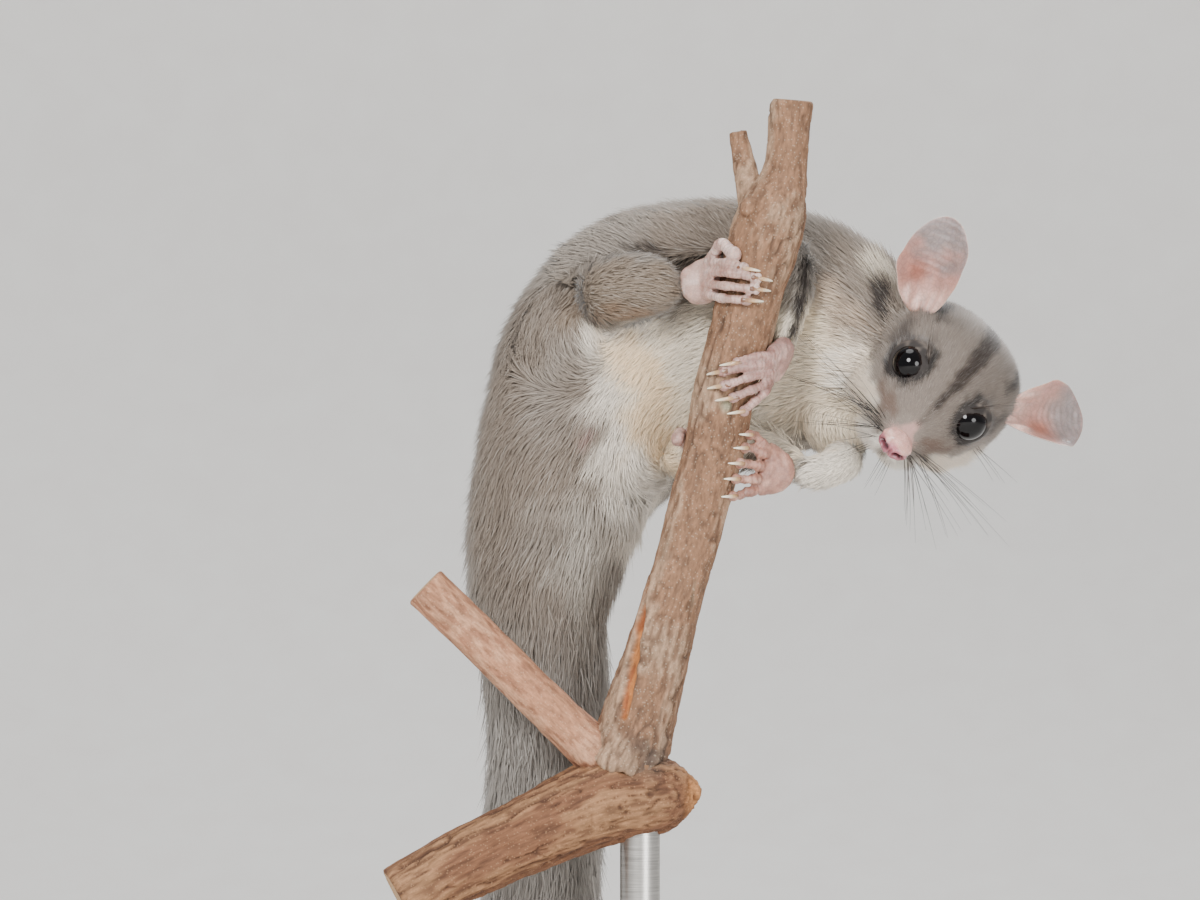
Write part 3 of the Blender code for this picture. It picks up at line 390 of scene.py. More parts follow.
def headTurn():
    # the head frame in the grip frame, in millimetres
    roll, pitch, yaw = (math.radians(head[key]) for key in ("roll", "pitch", "yaw"))
    ahead = Vector((0, -1, 0))
    up = Vector((math.sin(roll), 0, math.cos(roll)))
    left = up.cross(ahead)
    nose = ahead * math.cos(pitch) - up * math.sin(pitch)
    crown = up * math.cos(pitch) + ahead * math.sin(pitch)
    forward = nose * math.cos(yaw) + left * math.sin(yaw)
    left = left * math.cos(yaw) - nose * math.sin(yaw)
    turn = Matrix((forward, left, crown)).transposed().to_4x4()
    return Matrix.Translation(Vector(head["eyeMiddleAt"]) - turn @ Vector(head["eyeMiddle"])) @ turn


headInGrip = headTurn()
headFrame = gripFrame @ headInGrip


def toHead(points):
    # grip frame points as head frame points
    inverse = np.array(headInGrip.inverted())
    return points @ inverse[:3, :3].T + inverse[:3, 3]


def toGrip(points):
    matrix = np.array(headInGrip)
    return points @ matrix[:3, :3].T + matrix[:3, 3]


lattice = np.random.RandomState(11).uniform(-1, 1, (48, 48, 48)).astype(np.float32)


def cloud(points, size):
    # smooth noise from -1 to 1 whose lumps are about size across
    q = np.asarray(points, np.float64) / size + 500.0
    cell = np.floor(q).astype(int)
    f = q - cell
    f = f * f * (3 - 2 * f)
    total = 0.0
    for corner in range(8):
        step = np.array([(corner >> k) & 1 for k in range(3)])
        share = np.prod(np.where(step, f, 1 - f), axis=1)
        i, j, k = ((cell + step) % 48).T
        total = total + share * lattice[i, j, k]
    return total * 1.6


def mirrored(point, side):
    return (point[0], point[1] * side, *point[2:])


def toLine(points, line):
    # distance from each point to a broken line, and the line's last number read at the nearest place
    line = np.array(line, float)
    best, value = np.full(len(points), 1e9), np.zeros(len(points))
    if len(line) == 1:
        line = np.vstack([line, line + 1e-6])
    for a, b in zip(line[:-1], line[1:]):
        run = b[:3] - a[:3]
        t = np.clip(((points - a[:3]) @ run) / max(run @ run, 1e-12), 0, 1)
        gap = np.linalg.norm(points - (a[:3] + t[:, None] * run), axis=1)
        nearer = gap < best
        best = np.where(nearer, gap, best)
        value = np.where(nearer, a[-1] + t * (b[-1] - a[-1]), value)
    return best, value


# skin: one surface under the coat, from the tail to the muzzle

skinSettings = {
    "voxel": 0.74,
    "trunkFrom": 175.0,    # height where the trunk's form takes over from the tail's
    "smoothing": 5,
    # how deep the coat is over each part, so how far the skin lies inside the solids
    "depth": {"trunk": 3.2, "head": 1.15, "jaw": 0.8, "thigh": 2.6, "shank": 1.8, "upperArm": 2.2,
              "forearm": 1.1, "membrane": 0.7},
}


def headForm(grow):
    rows = [(x, 0, z, width, under, over, 0, pinch) for x, z, width, over, under, pinch in head["line"]]
    bm = tube(rows, 56, 44, facing=(0.0, 0.0, -1.0), grow=grow, square=2.3)
    for side in (1, -1):
        swell(bm, (-3, 14.5 * side, -8), 6.0, 1.3)        # cheek
        swell(bm, (11.4, 3.8 * side, -10.4), 2.6, 0.9)    # whisker pad
        swell(bm, (0.5, 7.5 * side, 6.0), 4.0, 0.8)       # brow
        swell(bm, (7.5, 8.5 * side, -3.5), 3.6, -1.0)     # hollow before the eye
    swell(bm, (8.5, 0, -1.5), 3.2, -0.35)                  # bridge of the nose
    return placed(bm, headFrame)


def limbFacing(rows):
    run = Vector(rows[-1][:3]) - Vector(rows[0][:3])
    return (0.0, 0.0, 1.0) if abs(run.normalized().z) < 0.7 else (1.0, 0.0, 0.0)


def tailAxis(height):
    fine = through(trunkLine[:11], 400)
    return [float(np.interp(height, fine[:, 2], fine[:, k])) for k in (0, 1)]


def makeSkin():
    depth = skinSettings["depth"]
    fine = through(trunkLine, 40 * len(trunkLine))
    travelled = np.cumsum(np.linalg.norm(np.diff(fine[:, :3], axis=0), axis=1))
    tailShare = travelled[int(np.argmax(fine[:, 2] > skinSettings["trunkFrom"]))] / travelled[-1]
    forms = [placed(tube(trunkLine, 48, 60, cut=(tailShare, 1.0), grow=-depth["trunk"], square=2.1))]
    heights, radii = zip(*reversed(tailCore))
    rows = [(*tailAxis(z), z, float(np.interp(z, heights, radii)))
            for z in np.linspace(heights[0], heights[-1], 60)]
    forms.append(placed(tube(wide(rows), 32, 90, facing=(0.0, -1.0, 0.0))))
    for name, rows in limbLines.items():
        kind = next(k for k in depth if name.startswith(k))
        forms.append(placed(tube(wide(rows), 32, 24, facing=limbFacing(rows), grow=-depth[kind])))
    for name, rows in membraneLines.items():
        flat = [(x, y, z, high, thick, thick, 0) for x, y, z, thick, high in rows]
        forms.append(placed(tube(flat, 20, 40, facing=(0.0, -1.0, 0.0), grow=-depth["membrane"])))
    jaw = [(x, 0, z, width, deep, deep, 0) for x, z, width, deep in head["jaw"]]
    forms.append(placed(tube(jaw, 32, 24, facing=(0.0, 0.0, -1.0), grow=-depth["jaw"]), headFrame))
    forms.append(headForm(-depth["head"]))
    for side in (1, -1):    # the lids swell over each eye
        size = head["eyeRadius"] + 0.75
        forms.append(placed(ball(mirrored(head["eyeCentre"], side), (size, size, size)), headFrame))
    return fused("skin", forms, skinSettings["voxel"], skinSettings["smoothing"])


skin = makeSkin()
print("skin:", len(skin.data.polygons), "faces")


def headShapes():
    # a finer mesh over the face round the eyes, the mouth and the seat of the nose, then the lids' openings
    # and the line of the mouth
    mesh = skin.data
    bm = bmesh.new()
    bm.from_mesh(mesh)
    points, _ = readPoints(mesh)
    local = toHead(points)
    nose, mouth = np.array((15.0, 0.0, -8.0)), toLine(
        local * (1, 0, 1) + np.abs(local) * (0, 1, 0), head["mouth"])[0]
    eyes = [np.linalg.norm(local - np.array(mirrored(head["eyeCentre"], side)), axis=1) for side in (1, -1)]
    fineZone = (np.minimum(*eyes) < 7.5) | (np.linalg.norm(local - nose, axis=1) < 7.0) | (mouth < 2.0)
    fineZone &= local[:, 0] > -6
    bm.verts.ensure_lookup_table()
    chosen = [edge for edge in bm.edges if fineZone[edge.verts[0].index] and fineZone[edge.verts[1].index]]
    bmesh.ops.subdivide_edges(bm, edges=chosen, cuts=1, use_grid_fill=True)
    fresh = [vert for vert in bm.verts if vert.index < 0 or vert.index >= len(points)] or bm.verts[:]
    bmesh.ops.smooth_vert(bm, verts=fresh, factor=0.5, use_axis_x=True, use_axis_y=True, use_axis_z=True)
    bmesh.ops.triangulate(bm, faces=[face for face in bm.faces if len(face.verts) > 4])
    bm.to_mesh(mesh)
    bm.free()
    mesh.shade_smooth()

    points, normals = readPoints(mesh)
    local = toHead(points)
    turn = np.array(headInGrip.inverted())[:3, :3]
    out = normals @ turn.T
    # the line of the mouth, with a lip swelling on either side of it
    near = toLine(local * (1, 0, 1) + np.abs(local) * (0, 1, 0), head["mouth"])[0]
    local += out * (0.22 * np.exp(-((near - 1.0) / 0.55) ** 2)
                    - 0.75 * np.exp(-(near / 0.42) ** 2))[:, None]
    for side in (1, -1):
        centre = np.array(mirrored(head["eyeCentre"], side))
        look = unit(np.array(mirrored(head["eyeLook"], side)))
        away = local - centre
        height = away @ look
        across = away - height[:, None] * look
        reach = np.linalg.norm(across, axis=1)
        # the opening is drawn out to a small corner towards the nose and a smaller one behind
        corner = unit(np.array((0.55, -0.25 * side, -0.62)))
        along = (unit(across) @ corner)
        opening = head["opening"] * (1 + 0.13 * np.clip(along, 0, 1) ** 6
                                     + 0.08 * np.clip(-along, 0, 1) ** 6)
        front = height > 0.3
        # lids: a rim close on the eyeball, easing out into the face
        share = np.clip((reach - opening) / 2.6, 0, 1)
        wanted = head["eyeRadius"] + 0.3 + 0.55 * smoothStep(0.0, 0.35, share)
        lid = front & (reach >= opening - 0.2) & (share < 1)
        mix = (1 - smoothStep(0.3, 1.0, share))
        target = centre + unit(away) * wanted[:, None]
        local = np.where(lid[:, None], local + (target - local) * mix[:, None], local)
        inside = front & (reach < opening - 0.2)
        local = np.where(inside[:, None], centre + unit(away) * (head["eyeRadius"] - 0.6), local)
    writePoints(mesh, toGrip(local))


headShapes()
print("head: lids, mouth line")


# coat: where it lies, how long it is and its colours, worked out once for each point of the skin

coatParts = {
    # hair length, half width of a tuft, lift at the root and at the tip in degrees
    "tailTip": (12.0, 0.15, 30, 6), "tail": (12.5, 0.155, 34, 6), "rump": (8.6, 0.13, 38, 12),
    "trunk": (6.0, 0.1, 42, 18), "neck": (5.2, 0.095, 42, 18), "crown": (2.7, 0.07, 36, 14),
    "face": (1.5, 0.058, 32, 14), "thigh": (4.8, 0.095, 40, 18), "shank": (3.6, 0.09, 36, 16),
    "upperArm": (4.4, 0.095, 38, 18), "forearm": (2.6, 0.08, 30, 12), "membrane": (3.4, 0.085, 34, 18),
}
coatPieces = (    # name, tufts in each piece, whether they are bent, first seed, how many pieces
    ("tailCoat", 27000, True, 20, 2), ("bodyCoat", 25000, True, 30, 5), ("headCoat", 45000, False, 40, 2),
)
tuft = {
    "sink": 0.25,         # how far the root goes under the skin
    "bend": 0.45,         # share of the length at which a bent tuft turns and is widest
    "flatness": 0.75,     # depth for its width
    "patch": 0.0014,      # half the width of its patch on the unwrap
    "ownShading": 0.55,   # how much it is shaded by its own shape, against the body's
}
coatShades = {"back": "8d847a", "warm": "7b6a5a", "tail": "918b84", "crown": "84786e"}
# strokes of colour laid over the grey: colour, frame, line of points each with its half width,
# then how soft and how strong it is
coatStrokes = {
    "bellyWhite": ("e2d8c9", "grip", [(-7, 11, 229, 11), (-5, 13, 216, 12), (-7, 15, 205, 11),
        (-8, 19, 199, 9)], 6, 0.95),
    "chest": ("ecdfca", "grip", [(2, 12, 224, 14), (12, 11, 225, 14), (22, 12, 227, 14),
        (27, 12, 220, 12)], 5, 1.0),
    "bellyPeach": ("f0d3aa", "grip", [(-8, 11, 229, 5.5), (-3, 12, 222, 6.5), (-3, 14, 212, 5)], 7, 0.9),
    "lowerBelly": ("e9e2d7", "grip", [(-11, 16, 201, 3), (-2, 20, 198, 4), (8, 18, 207, 3)], 5, 0.8),
    "smudge": ("a98781", "grip", [(-18, 9.7, 215, 0.9)], 2.6, 0.55),
    "tailRoot": ("b9b1a5", "grip", [(-20, 13, 198, 4), (-17, 13, 187, 4.5), (-18, 14, 175, 3)], 8, 0.7),
    "throat": ("f3e2c8", "grip", [(26, 12, 236, 6.5), (28, 13, 222, 9), (33, 9, 209, 8.5),
        (38, 4, 205, 5)], 4, 0.95),
    "neckSide": ("b7a18c", "grip", [(31, 12, 241, 2.6), (36, 10, 234, 2.6)], 4, 0.75),
    "flap": ("efdcbc", "grip", [(26.6, 12.6, 241, 1.6), (27.5, 12, 235, 2.2)], 1.4, 0.9),
    # painted shadow: a near-black spot in the notch by the top of the right arm
    "notchPaintedShadow": ("3c332e", "grip", [(27.8, 13.5, 244.8, 0.9)], 1.5, 0.9),
    "thigh": ("83705c", "grip", [(-22, 6, 238, 7), (-13, 2, 242, 6), (-5, 1, 242.5, 4.5)], 4, 0.6),
    # partly a brown tinge, partly painted shade along the thigh's lower edge, where it meets the body
    "thighEdgeTingeAndShade": ("87674b", "grip", [(-19, 5, 236.5, 1.6), (-11, 1.5, 237.5, 1.8),
        (-3, 1.5, 237.5, 1.4)], 3, 0.6),
    "heel": ("ddd4c6", "grip", [(2.5, 1.5, 242.5, 2.4), (5, 1, 240.5, 2.6)], 3, 1.0),
    # partly the membrane's dark margin, partly painted shadow in the gap between the membrane and the limb in
    # front of it
    "rightMembraneMarginAndShadow": ("2f2825", "grip", [(-22, 9, 243.6, 0.25), (-16, 5.6, 247.2, 0.4),
        (-10.2, 9, 250.3, 0.45), (-4.5, 10, 250.4, 0.45), (2.2, 13, 248.5, 0.3)], 0.9, 0.9),
    # the same on the left: the dark margin with painted shadow
    "leftMembraneMarginAndShadow": ("4a413b", "grip", [(25, 9, 205, 0.5), (20, 13, 206.5, 0.6), (12, 15.5, 207.4, 0.6),
        (4, 16, 206, 0.5)], 1.2, 0.6),
    "armFringe": ("ddd0b6", "grip", [(22, 5.4, 247, 0.9), (21.2, 3.4, 240, 1.0),
        (19.6, 0.6, 233, 1.2)], 1.0, 0.95),
    # partly dark fur, partly painted shadow along the right edge of the forearm
    "armDarkFurAndShadow": ("2e2622", "grip", [(25.5, 8.5, 248, 1.1), (25.2, 5.6, 242, 1.2), (23.6, 3.4, 236, 1.2),
        (21.5, 1.5, 231, 1.4)], 1.0, 0.95),
    "wristLeftDark": ("2e2723", "grip", [(20.5, 3, 208, 1.8), (25, 5, 208, 1.6)], 1.6, 0.9),
    "armLeftPale": ("ece2d2", "grip", [(35, 8, 208, 4.6), (30, 5.5, 205, 4.6),
        (25.5, 2, 204, 3.0)], 2.4, 0.95),
    "backStripe": ("3f352f", "grip", [(45, 26, 242, 2.2), (34, 39, 240, 2.4), (20, 46, 237, 2.4),
        (5, 47.5, 234, 2.2), (-10, 45, 228, 1.8), (-20, 41, 216, 1.2)], 2.6, 0.8),
    "lowerFace": ("ebe2d4", "bothSides", [(7, 7.5, -10.5, 2.6), (0, 11.8, -12.5, 3.2),
        (-8, 14.5, -11.5, 3.4), (-15, 16, -9, 3)], 2.6, 0.95),
    "chin": ("efe7da", "bothSides", [(12, 3.2, -11.2, 1.5), (10, 2.5, -13.6, 2.2),
        (4, 3, -16, 3)], 1.6, 0.95),
    "cheek": ("ead9c4", "bothSides", [(-4.6, 14.8, -7.4, 1.7), (-2.6, 13, -10.2, 2.4), (2, 10.3, -10.4, 2.2),
        (7.2, 7.4, -9.4, 1.4)], 2.2, 0.95),
    "cheekArc": ("8d6c4b", "bothSides", [(-7.2, 14.6, -3.6, 0.2), (-7, 16.2, -6.4, 0.3),
        (-5.2, 15.6, -11, 0.35), (-3.6, 12.6, -14.6, 0.2)], 1.3, 0.7),
    "muzzle": ("6a5347", "bothSides", [(5.6, 8.6, -6, 1.4), (8.6, 6.4, -6.6, 1.5),
        (10.4, 4.2, -6, 1.0)], 2.0, 0.75),
    "bridge": ("c39a90", "head", [(12.6, 0.2, -5.4, 1.5), (13.4, 0.0, -7.0, 2.4)], 1.8, 0.9),
    "behindEar": ("d9cdb9", "bothSides", [(-15, 17.5, 4, 1.6), (-18.5, 22.5, 1, 2.2),
        (-15.6, 22.2, -1, 1.6)], 2.2, 0.95),
    "eyeSmudge": ("433b36", "bothSides", [(5.6, 6.2, -2.6, 1.0), (0, 11.2, 0.4, 2.0),
        (-6, 13.2, 0.6, 1.4)], 3.0, 0.8),
    "brow": ("5d534c", "bothSides", [(2.6, 6.2, 4.6, 0.6), (-3, 8.8, 6.0, 0.8)], 3.0, 0.45),
    "eyeRing": ("2b2624", "bothSides", [(2.2, 8.0, 0.0, 5.3)], 2.0, 0.97),
    "earInner": ("29221f", "bothSides", [(-6, 9.2, 6.6, 1.0), (-12, 10.6, 7.6, 1.5)], 1.8, 0.95),
    "earOuter": ("29221f", "bothSides", [(-9.6, 16.6, -2, 1.5), (-13.6, 20, -0.4, 1.9)], 1.4, 0.95),
    "stripe": ("372d28", "head", [(10.6, 0.7, -3.4, 0.25), (8.5, 0.8, -0.4, 0.75), (5.9, 1.0, 2.2, 0.95),
        (3.4, 1.0, 4.7, 1.15), (0, 1.0, 7.2, 1.5), (-3.1, 1.0, 8.8, 1.9), (-6.1, 0.9, 9.6, 2.1),
        (-12, 0.7, 11, 2.2), (-20, 0.4, 10, 2.3), (-28, 0, 8, 2.3)], 1.3, 0.95),
}
# where the hair is longer, shorter or stands up more: frame, line, softness, length times,
# then more lift in degrees
coatLengths = [
    ("grip", [(-11, 18, 200, 3), (0, 22, 198, 4), (10, 20, 206, 4)], 6, 1.25, 10),   # lower edge of the belly
    ("grip", [(-8, 11, 229, 8), (-4, 13, 213, 8)], 8, 0.62, -12),                       # smooth belly
    ("grip", [(27, 12, 236, 6), (29, 13, 220, 8), (34, 9, 208, 6)], 6, 0.72, -8),       # throat
    ("bothSides", [(7, 7.5, -11.5, 2), (0, 12, -13.5, 3), (-8, 15, -12.5, 3),
        (-16, 17, -9, 3)], 4, 2.1, 12),
    ("bothSides", [(9, 3, -14.5, 2), (2, 4, -17, 3)], 3, 1.9, 10),                      # chin
    ("bothSides", [(-15, 17, 4, 2), (-18, 22, 1, 3)], 4, 1.5, 8),
    ("head", [(12.4, 0.0, -6.4, 2.4)], 3, 0.45, 0),                                     # over the nose
    ("grip", [(33, 6, 206, 3), (26, 3, 203, 3)], 3, 1.3, 6),                          # under the left arm
    ("grip", [(20.5, 3, 208, 2), (25, 5, 208, 2)], 2, 1.5, 10),
    ("grip", [(2.5, 1.5, 242.5, 2), (5, 1, 240.5, 2)], 3, 1.25, 8),
]
headColumn, tailColumn = 4, 5    # the fields' last columns: how far a place is head, and how far it is tail


def rowsAlong(line, step):
    # places and directions read every step millimetres along a curve
    fine = through(line, 60 * len(line))
    travelled = np.concatenate([[0], np.cumsum(np.linalg.norm(np.diff(fine[:, :3], axis=0), axis=1))])
    places = np.arange(0, travelled[-1], step)
    read = np.array([[np.interp(d, travelled, fine[:, k]) for k in range(fine.shape[1])] for d in places])
    return read, unit(np.gradient(read[:, :3], axis=0))


def layOfCoat():
    # bones that the coat flows along: place, direction, reach, then the part's sizes,
    # and whether it is head or tail
    bones = []

    def add(places, directions, reaches, kinds):
        for place, direction, reach, kind in zip(places, directions, reaches, kinds):
            bones.append((*place, *direction, reach, *coatParts[kind], kind in ("face", "crown"),
                          kind in ("tail", "tailTip")))

    rows, ahead = rowsAlong(trunkLine, 3.0)
    height, x = rows[:, 2], rows[:, 0]
    heights, radii = zip(*reversed(tailCore))
    onTail = (height < 182) & (x < -17)
    kinds = np.where(onTail & (height < 60), "tailTip", np.where(onTail, "tail", np.where(
        (height < 206) & (x < -17), "rump", np.where(x < 30, "trunk", "neck"))))
    asTail = 1 - smoothStep(185, 203, height + 3 * np.maximum(x + 17, 0))
    reach = np.interp(height, heights, radii) * asTail + (rows[:, 3] + rows[:, 4]) / 2 * (1 - asTail)
    add(rows[:, :3], -ahead, reach, kinds)
    # the sizes ease from one part of the trunk into the next over about 25 mm
    held = np.array([bone[7:] for bone in bones])
    padded = np.vstack([np.repeat(held[:1], 4, axis=0), held, np.repeat(held[-1:], 4, axis=0)])
    eased = np.array([padded[i:i + 9].mean(axis=0) for i in range(len(held))])
    bones[:] = [(*bone[:7], *sizes) for bone, sizes in zip(bones, eased)]
    for name, line in limbLines.items():
        rows, ahead = rowsAlong(line, 2.5)
        kind = next(k for k in coatParts if name.startswith(k))
        add(rows[:, :3], ahead, rows[:, 3], [kind] * len(rows))
    for name, line in membraneLines.items():
        rows, ahead = rowsAlong([(*row[:3], row[4]) for row in line], 2.5)
        outward = np.array((0, 0, 0.9 if name.endswith("Right") else -0.9))
        add(rows[:, :3], unit(ahead + outward), rows[:, 3] * 0.8, ["membrane"] * len(rows))
    axis = [(x, 0, z, (w + over + under) / 3) for x, z, w, over, under, _ in head["line"]]
    rows, ahead = rowsAlong(axis, 2.5)
    turn = np.array(headInGrip)[:3, :3]
    add(toGrip(rows[:, :3]), -ahead @ turn.T, np.maximum(rows[:, 3], 4),
        np.where(rows[:, 0] > -5, "face", "crown"))
    return np.array(bones, np.float64)


def inFrame(where, points, local):
    if where == "grip":
        return points
    return np.stack([local[:, 0], np.abs(local[:, 1]), local[:, 2]],
                    axis=1) if where == "bothSides" else local


def strokeShare(place, line, soft, ragged=0.4):
    # 1 inside a stroke, 0 outside it, with a soft and slightly ragged edge between
    distance, width = toLine(place, line)
    distance = distance + ragged * soft * cloud(place, max(1.0, soft * 0.6))
    return 1 - smoothStep(0, 1, (distance - width + soft / 2) / soft)


def fieldsAt(points, normals, local):
    # the coat's direction at each point, its four sizes, and how far the point is head and tail
    bones = layOfCoat()
    fields, flow = np.zeros((len(points), bones.shape[1] - 7)), np.zeros((len(points), 3))
    for start in range(0, len(points), 8192):
        block = points[start:start + 8192]
        gap = np.linalg.norm(block[:, None, :] - bones[None, :, :3], axis=2) / bones[:, 6]
        weight = 1 / (gap ** 6 + 1e-3)
        weight /= weight.sum(axis=1, keepdims=True)
        fields[start:start + 8192] = weight @ bones[:, 7:]
        flow[start:start + 8192] = weight @ bones[:, 3:6]
    fromNose = unit(local - np.array((20.0, 0.0, -8.0))) @ np.array(headInGrip)[:3, :3].T
    onHead = smoothStep(0.3, 0.9, fields[:, headColumn])[:, None]
    flow = unit(flow) * (1 - onHead) + fromNose * onHead
    flow[:, 2] -= 0.15 * (1 - onHead[:, 0])
    wander = np.stack([cloud(points + shift, 9.0) for shift in (0.0, 40.0, 80.0)], axis=1)
    clump = np.stack([cloud(points + shift, 2.2) for shift in (7.0, 47.0, 87.0)], axis=1)
    flow = flow + (0.14 * wander + 0.12 * clump) * (1 - 0.6 * onHead)
    flow -= normals * np.sum(flow * normals, axis=1, keepdims=True)
    for where, line, soft, times, lift in coatLengths:
        share = strokeShare(inFrame(where, points, local), line, soft, 0.2)
        fields[:, 0] *= 1 + (times - 1) * share
        fields[:, 2] += lift * share
        fields[:, 3] += lift * share
    return unit(flow), fields


def coatColours(points, local, fields):
    shade = {key: np.array(linear(code)[:3]) for key, code in coatShades.items()}
    patchy = smoothStep(-0.5, 0.7, cloud(points, 13.0))[:, None]
    colours = shade["back"] * (1 - 0.5 * patchy) + shade["warm"] * 0.5 * patchy
    onTail, onHead = fields[:, tailColumn, None], fields[:, headColumn, None]
    colours = colours * (1 - onTail) + shade["tail"] * onTail
    colours = colours * (1 - onHead) + shade["crown"] * onHead
    for code, where, line, soft, strength in coatStrokes.values():
        share = strength * strokeShare(inFrame(where, points, local), line, soft)[:, None]
        colours = colours * (1 - share) + np.array(linear(code)[:3]) * share
    return colours


def writeAttribute(mesh, name, values, kind="FLOAT_VECTOR"):
    key = {"FLOAT_VECTOR": "vector", "FLOAT_COLOR": "color", "FLOAT": "value"}[kind]
    if kind == "FLOAT_COLOR":
        values = np.concatenate([values, np.ones((len(values), 1))], axis=1)
    layer = mesh.attributes.new(name, kind, "POINT")
    layer.data.foreach_set(key, np.ascontiguousarray(values, np.float32).ravel())


points, normals = readPoints(skin.data)
local = toHead(points)
flow, fields = fieldsAt(points, normals, local)
colours = coatColours(points, local, fields)
writeAttribute(skin.data, "coatColour", colours, "FLOAT_COLOR")
print("coat: lie and colours at", len(points), "points")


def unwrapSkin():
    bpy.context.view_layer.objects.active = skin
    skin.select_set(True)
    skin.data.uv_layers.new(name="OFBake")
    bpy.ops.object.mode_set(mode="EDIT")
    bpy.ops.mesh.select_all(action="SELECT")
    bpy.ops.uv.smart_project(angle_limit=math.radians(72), island_margin=0.002)
    bpy.ops.object.mode_set(mode="OBJECT")
    skin.select_set(False)


unwrapSkin()
print("skin: unwrapped")

# the roots are darker partly by the hair's own banding and partly by painted shade deep in the coat
hairShades = {"rootBandAndPaintedShade": 0.82, "tipShade": 1.12, "spread": 0.3, "silver": "e2ddd4", "silverFrom": 0.84,
              "silverStrength": 0.4, "roughness": 0.62}


def hairMaterial():
    # keratin hair, fine and dry: a soft sheen along each tuft, darker at its root, partly the hair's own
    # banding and partly painted shade deep in the coat, some tips silver
    made, tree, shader = newMaterial("furKeratinSoft")
    colour = addNode(tree, "Attribute", {"attribute_name": "coatColour"})
    strand = addNode(tree, "Attribute", {"attribute_name": "strand"})
    parts = addNode(tree, "SeparateXYZ", None, {0: strand.outputs["Vector"]})
    along = addNode(tree, "MapRange", None, {"Value": parts.outputs["X"], "To Min": hairShades["rootBandAndPaintedShade"],
                                             "To Max": hairShades["tipShade"]})
    own = addNode(tree, "MapRange", None,
                  {"Value": parts.outputs["Z"], "To Min": 1 - hairShades["spread"] / 2,
                                           "To Max": 1 + hairShades["spread"] / 2})
    shade = addNode(tree, "Math", {"operation": "MULTIPLY"}, {0: along.outputs[0], 1: own.outputs[0]})
    tinted = addNode(tree, "VectorMath", {"operation": "SCALE"},
                     {0: colour.outputs["Color"], "Scale": shade.outputs[0]})
    silver = addNode(tree, "MapRange", None,
                     {"Value": parts.outputs["Y"], "From Min": hairShades["silverFrom"],
                                              "To Max": hairShades["silverStrength"]})
    tipped = addNode(tree, "Math", {"operation": "MULTIPLY"}, {0: silver.outputs[0], 1: parts.outputs["X"]})
    mixed = addNode(tree, "Mix", {"data_type": "RGBA"},
                    {0: tipped.outputs[0], 6: tinted.outputs[0], 7: linear(hairShades["silver"])})
    setShader(tree, shader, {"Base Color": mixed.outputs[2], "Roughness": hairShades["roughness"],
                             "Specular IOR Level": 0.3, "Sheen Weight": 0.2, "Sheen Roughness": 0.45})
    return made


def underfurMaterial():
    # short underfur against the skin: matt, a shade darker than the hair over it
    made, tree, shader = newMaterial("underfurMatt")
    colour = addNode(tree, "Attribute", {"attribute_name": "coatColour"})
    place = addNode(tree, "TexCoord").outputs["Object"]
    fuzz = addNode(tree, "TexNoise", None, {"Vector": place, "Scale": 1 / (0.6 * mm), "Detail": 2.0})
    shade = addNode(tree, "MapRange", None, {"Value": fuzz.outputs["Fac"], "To Min": 0.65, "To Max": 0.95})
    tinted = addNode(tree, "VectorMath", {"operation": "SCALE"},
                     {0: colour.outputs["Color"], "Scale": shade.outputs[0]})
    bump = addNode(tree, "Bump", None, {"Height": fuzz.outputs["Fac"], "Strength": 0.5,
                                        "Distance": 0.15 * mm})
    setShader(tree, shader, {"Base Color": tinted.outputs[0], "Roughness": 0.85, "Normal": bump.outputs[0]})
    return made


hair = hairMaterial()
skin.data.materials.append(underfurMaterial())
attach(skin, "root")
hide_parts("head", "lower_jaw", "neck", "torso", "tail_root", "tail_middle", "tail_tip",
            *[part + side for part in ("membrane", "thigh", "shank", "upper_arm", "forearm")
              for side in ("_left", "_right")])


def meshTriangles(mesh):
    # corner vertices and corner places on the unwrap of every triangle
    mesh.calc_loop_triangles()
    count = len(mesh.loop_triangles)
    corners, loops = np.empty(count * 3, np.int32), np.empty(count * 3, np.int32)
    mesh.loop_triangles.foreach_get("vertices", corners)
    mesh.loop_triangles.foreach_get("loops", loops)
    uv = np.empty(len(mesh.loops) * 2, np.float32)
    mesh.uv_layers["OFBake"].data.foreach_get("uv", uv)
    return corners.reshape(-1, 3), uv.reshape(-1, 2)[loops.reshape(-1, 3)]


def sampled(count, density, draw):
    # that many roots over the skin, as many to each patch as its area and the density say
    weight = triangleArea * density[triangles].mean(axis=1)
    total = np.cumsum(weight)
    picks = (np.arange(count) + draw.uniform(0, 1, count)) / count * total[-1]
    chosen = np.minimum(np.searchsorted(total, picks), len(weight) - 1)
    a, b = draw.uniform(0, 1, (2, count))
    over = a + b > 1
    a, b = np.where(over, 1 - a, a), np.where(over, 1 - b, b)
    share = np.stack([1 - a - b, a, b], axis=1)[:, :, None]
    uv = (triangleUv[chosen] * share).sum(axis=1)
    return [(values[triangles[chosen]] * share).sum(axis=1)
            for values in (points, normals, flow, colours, fields)] + [uv]


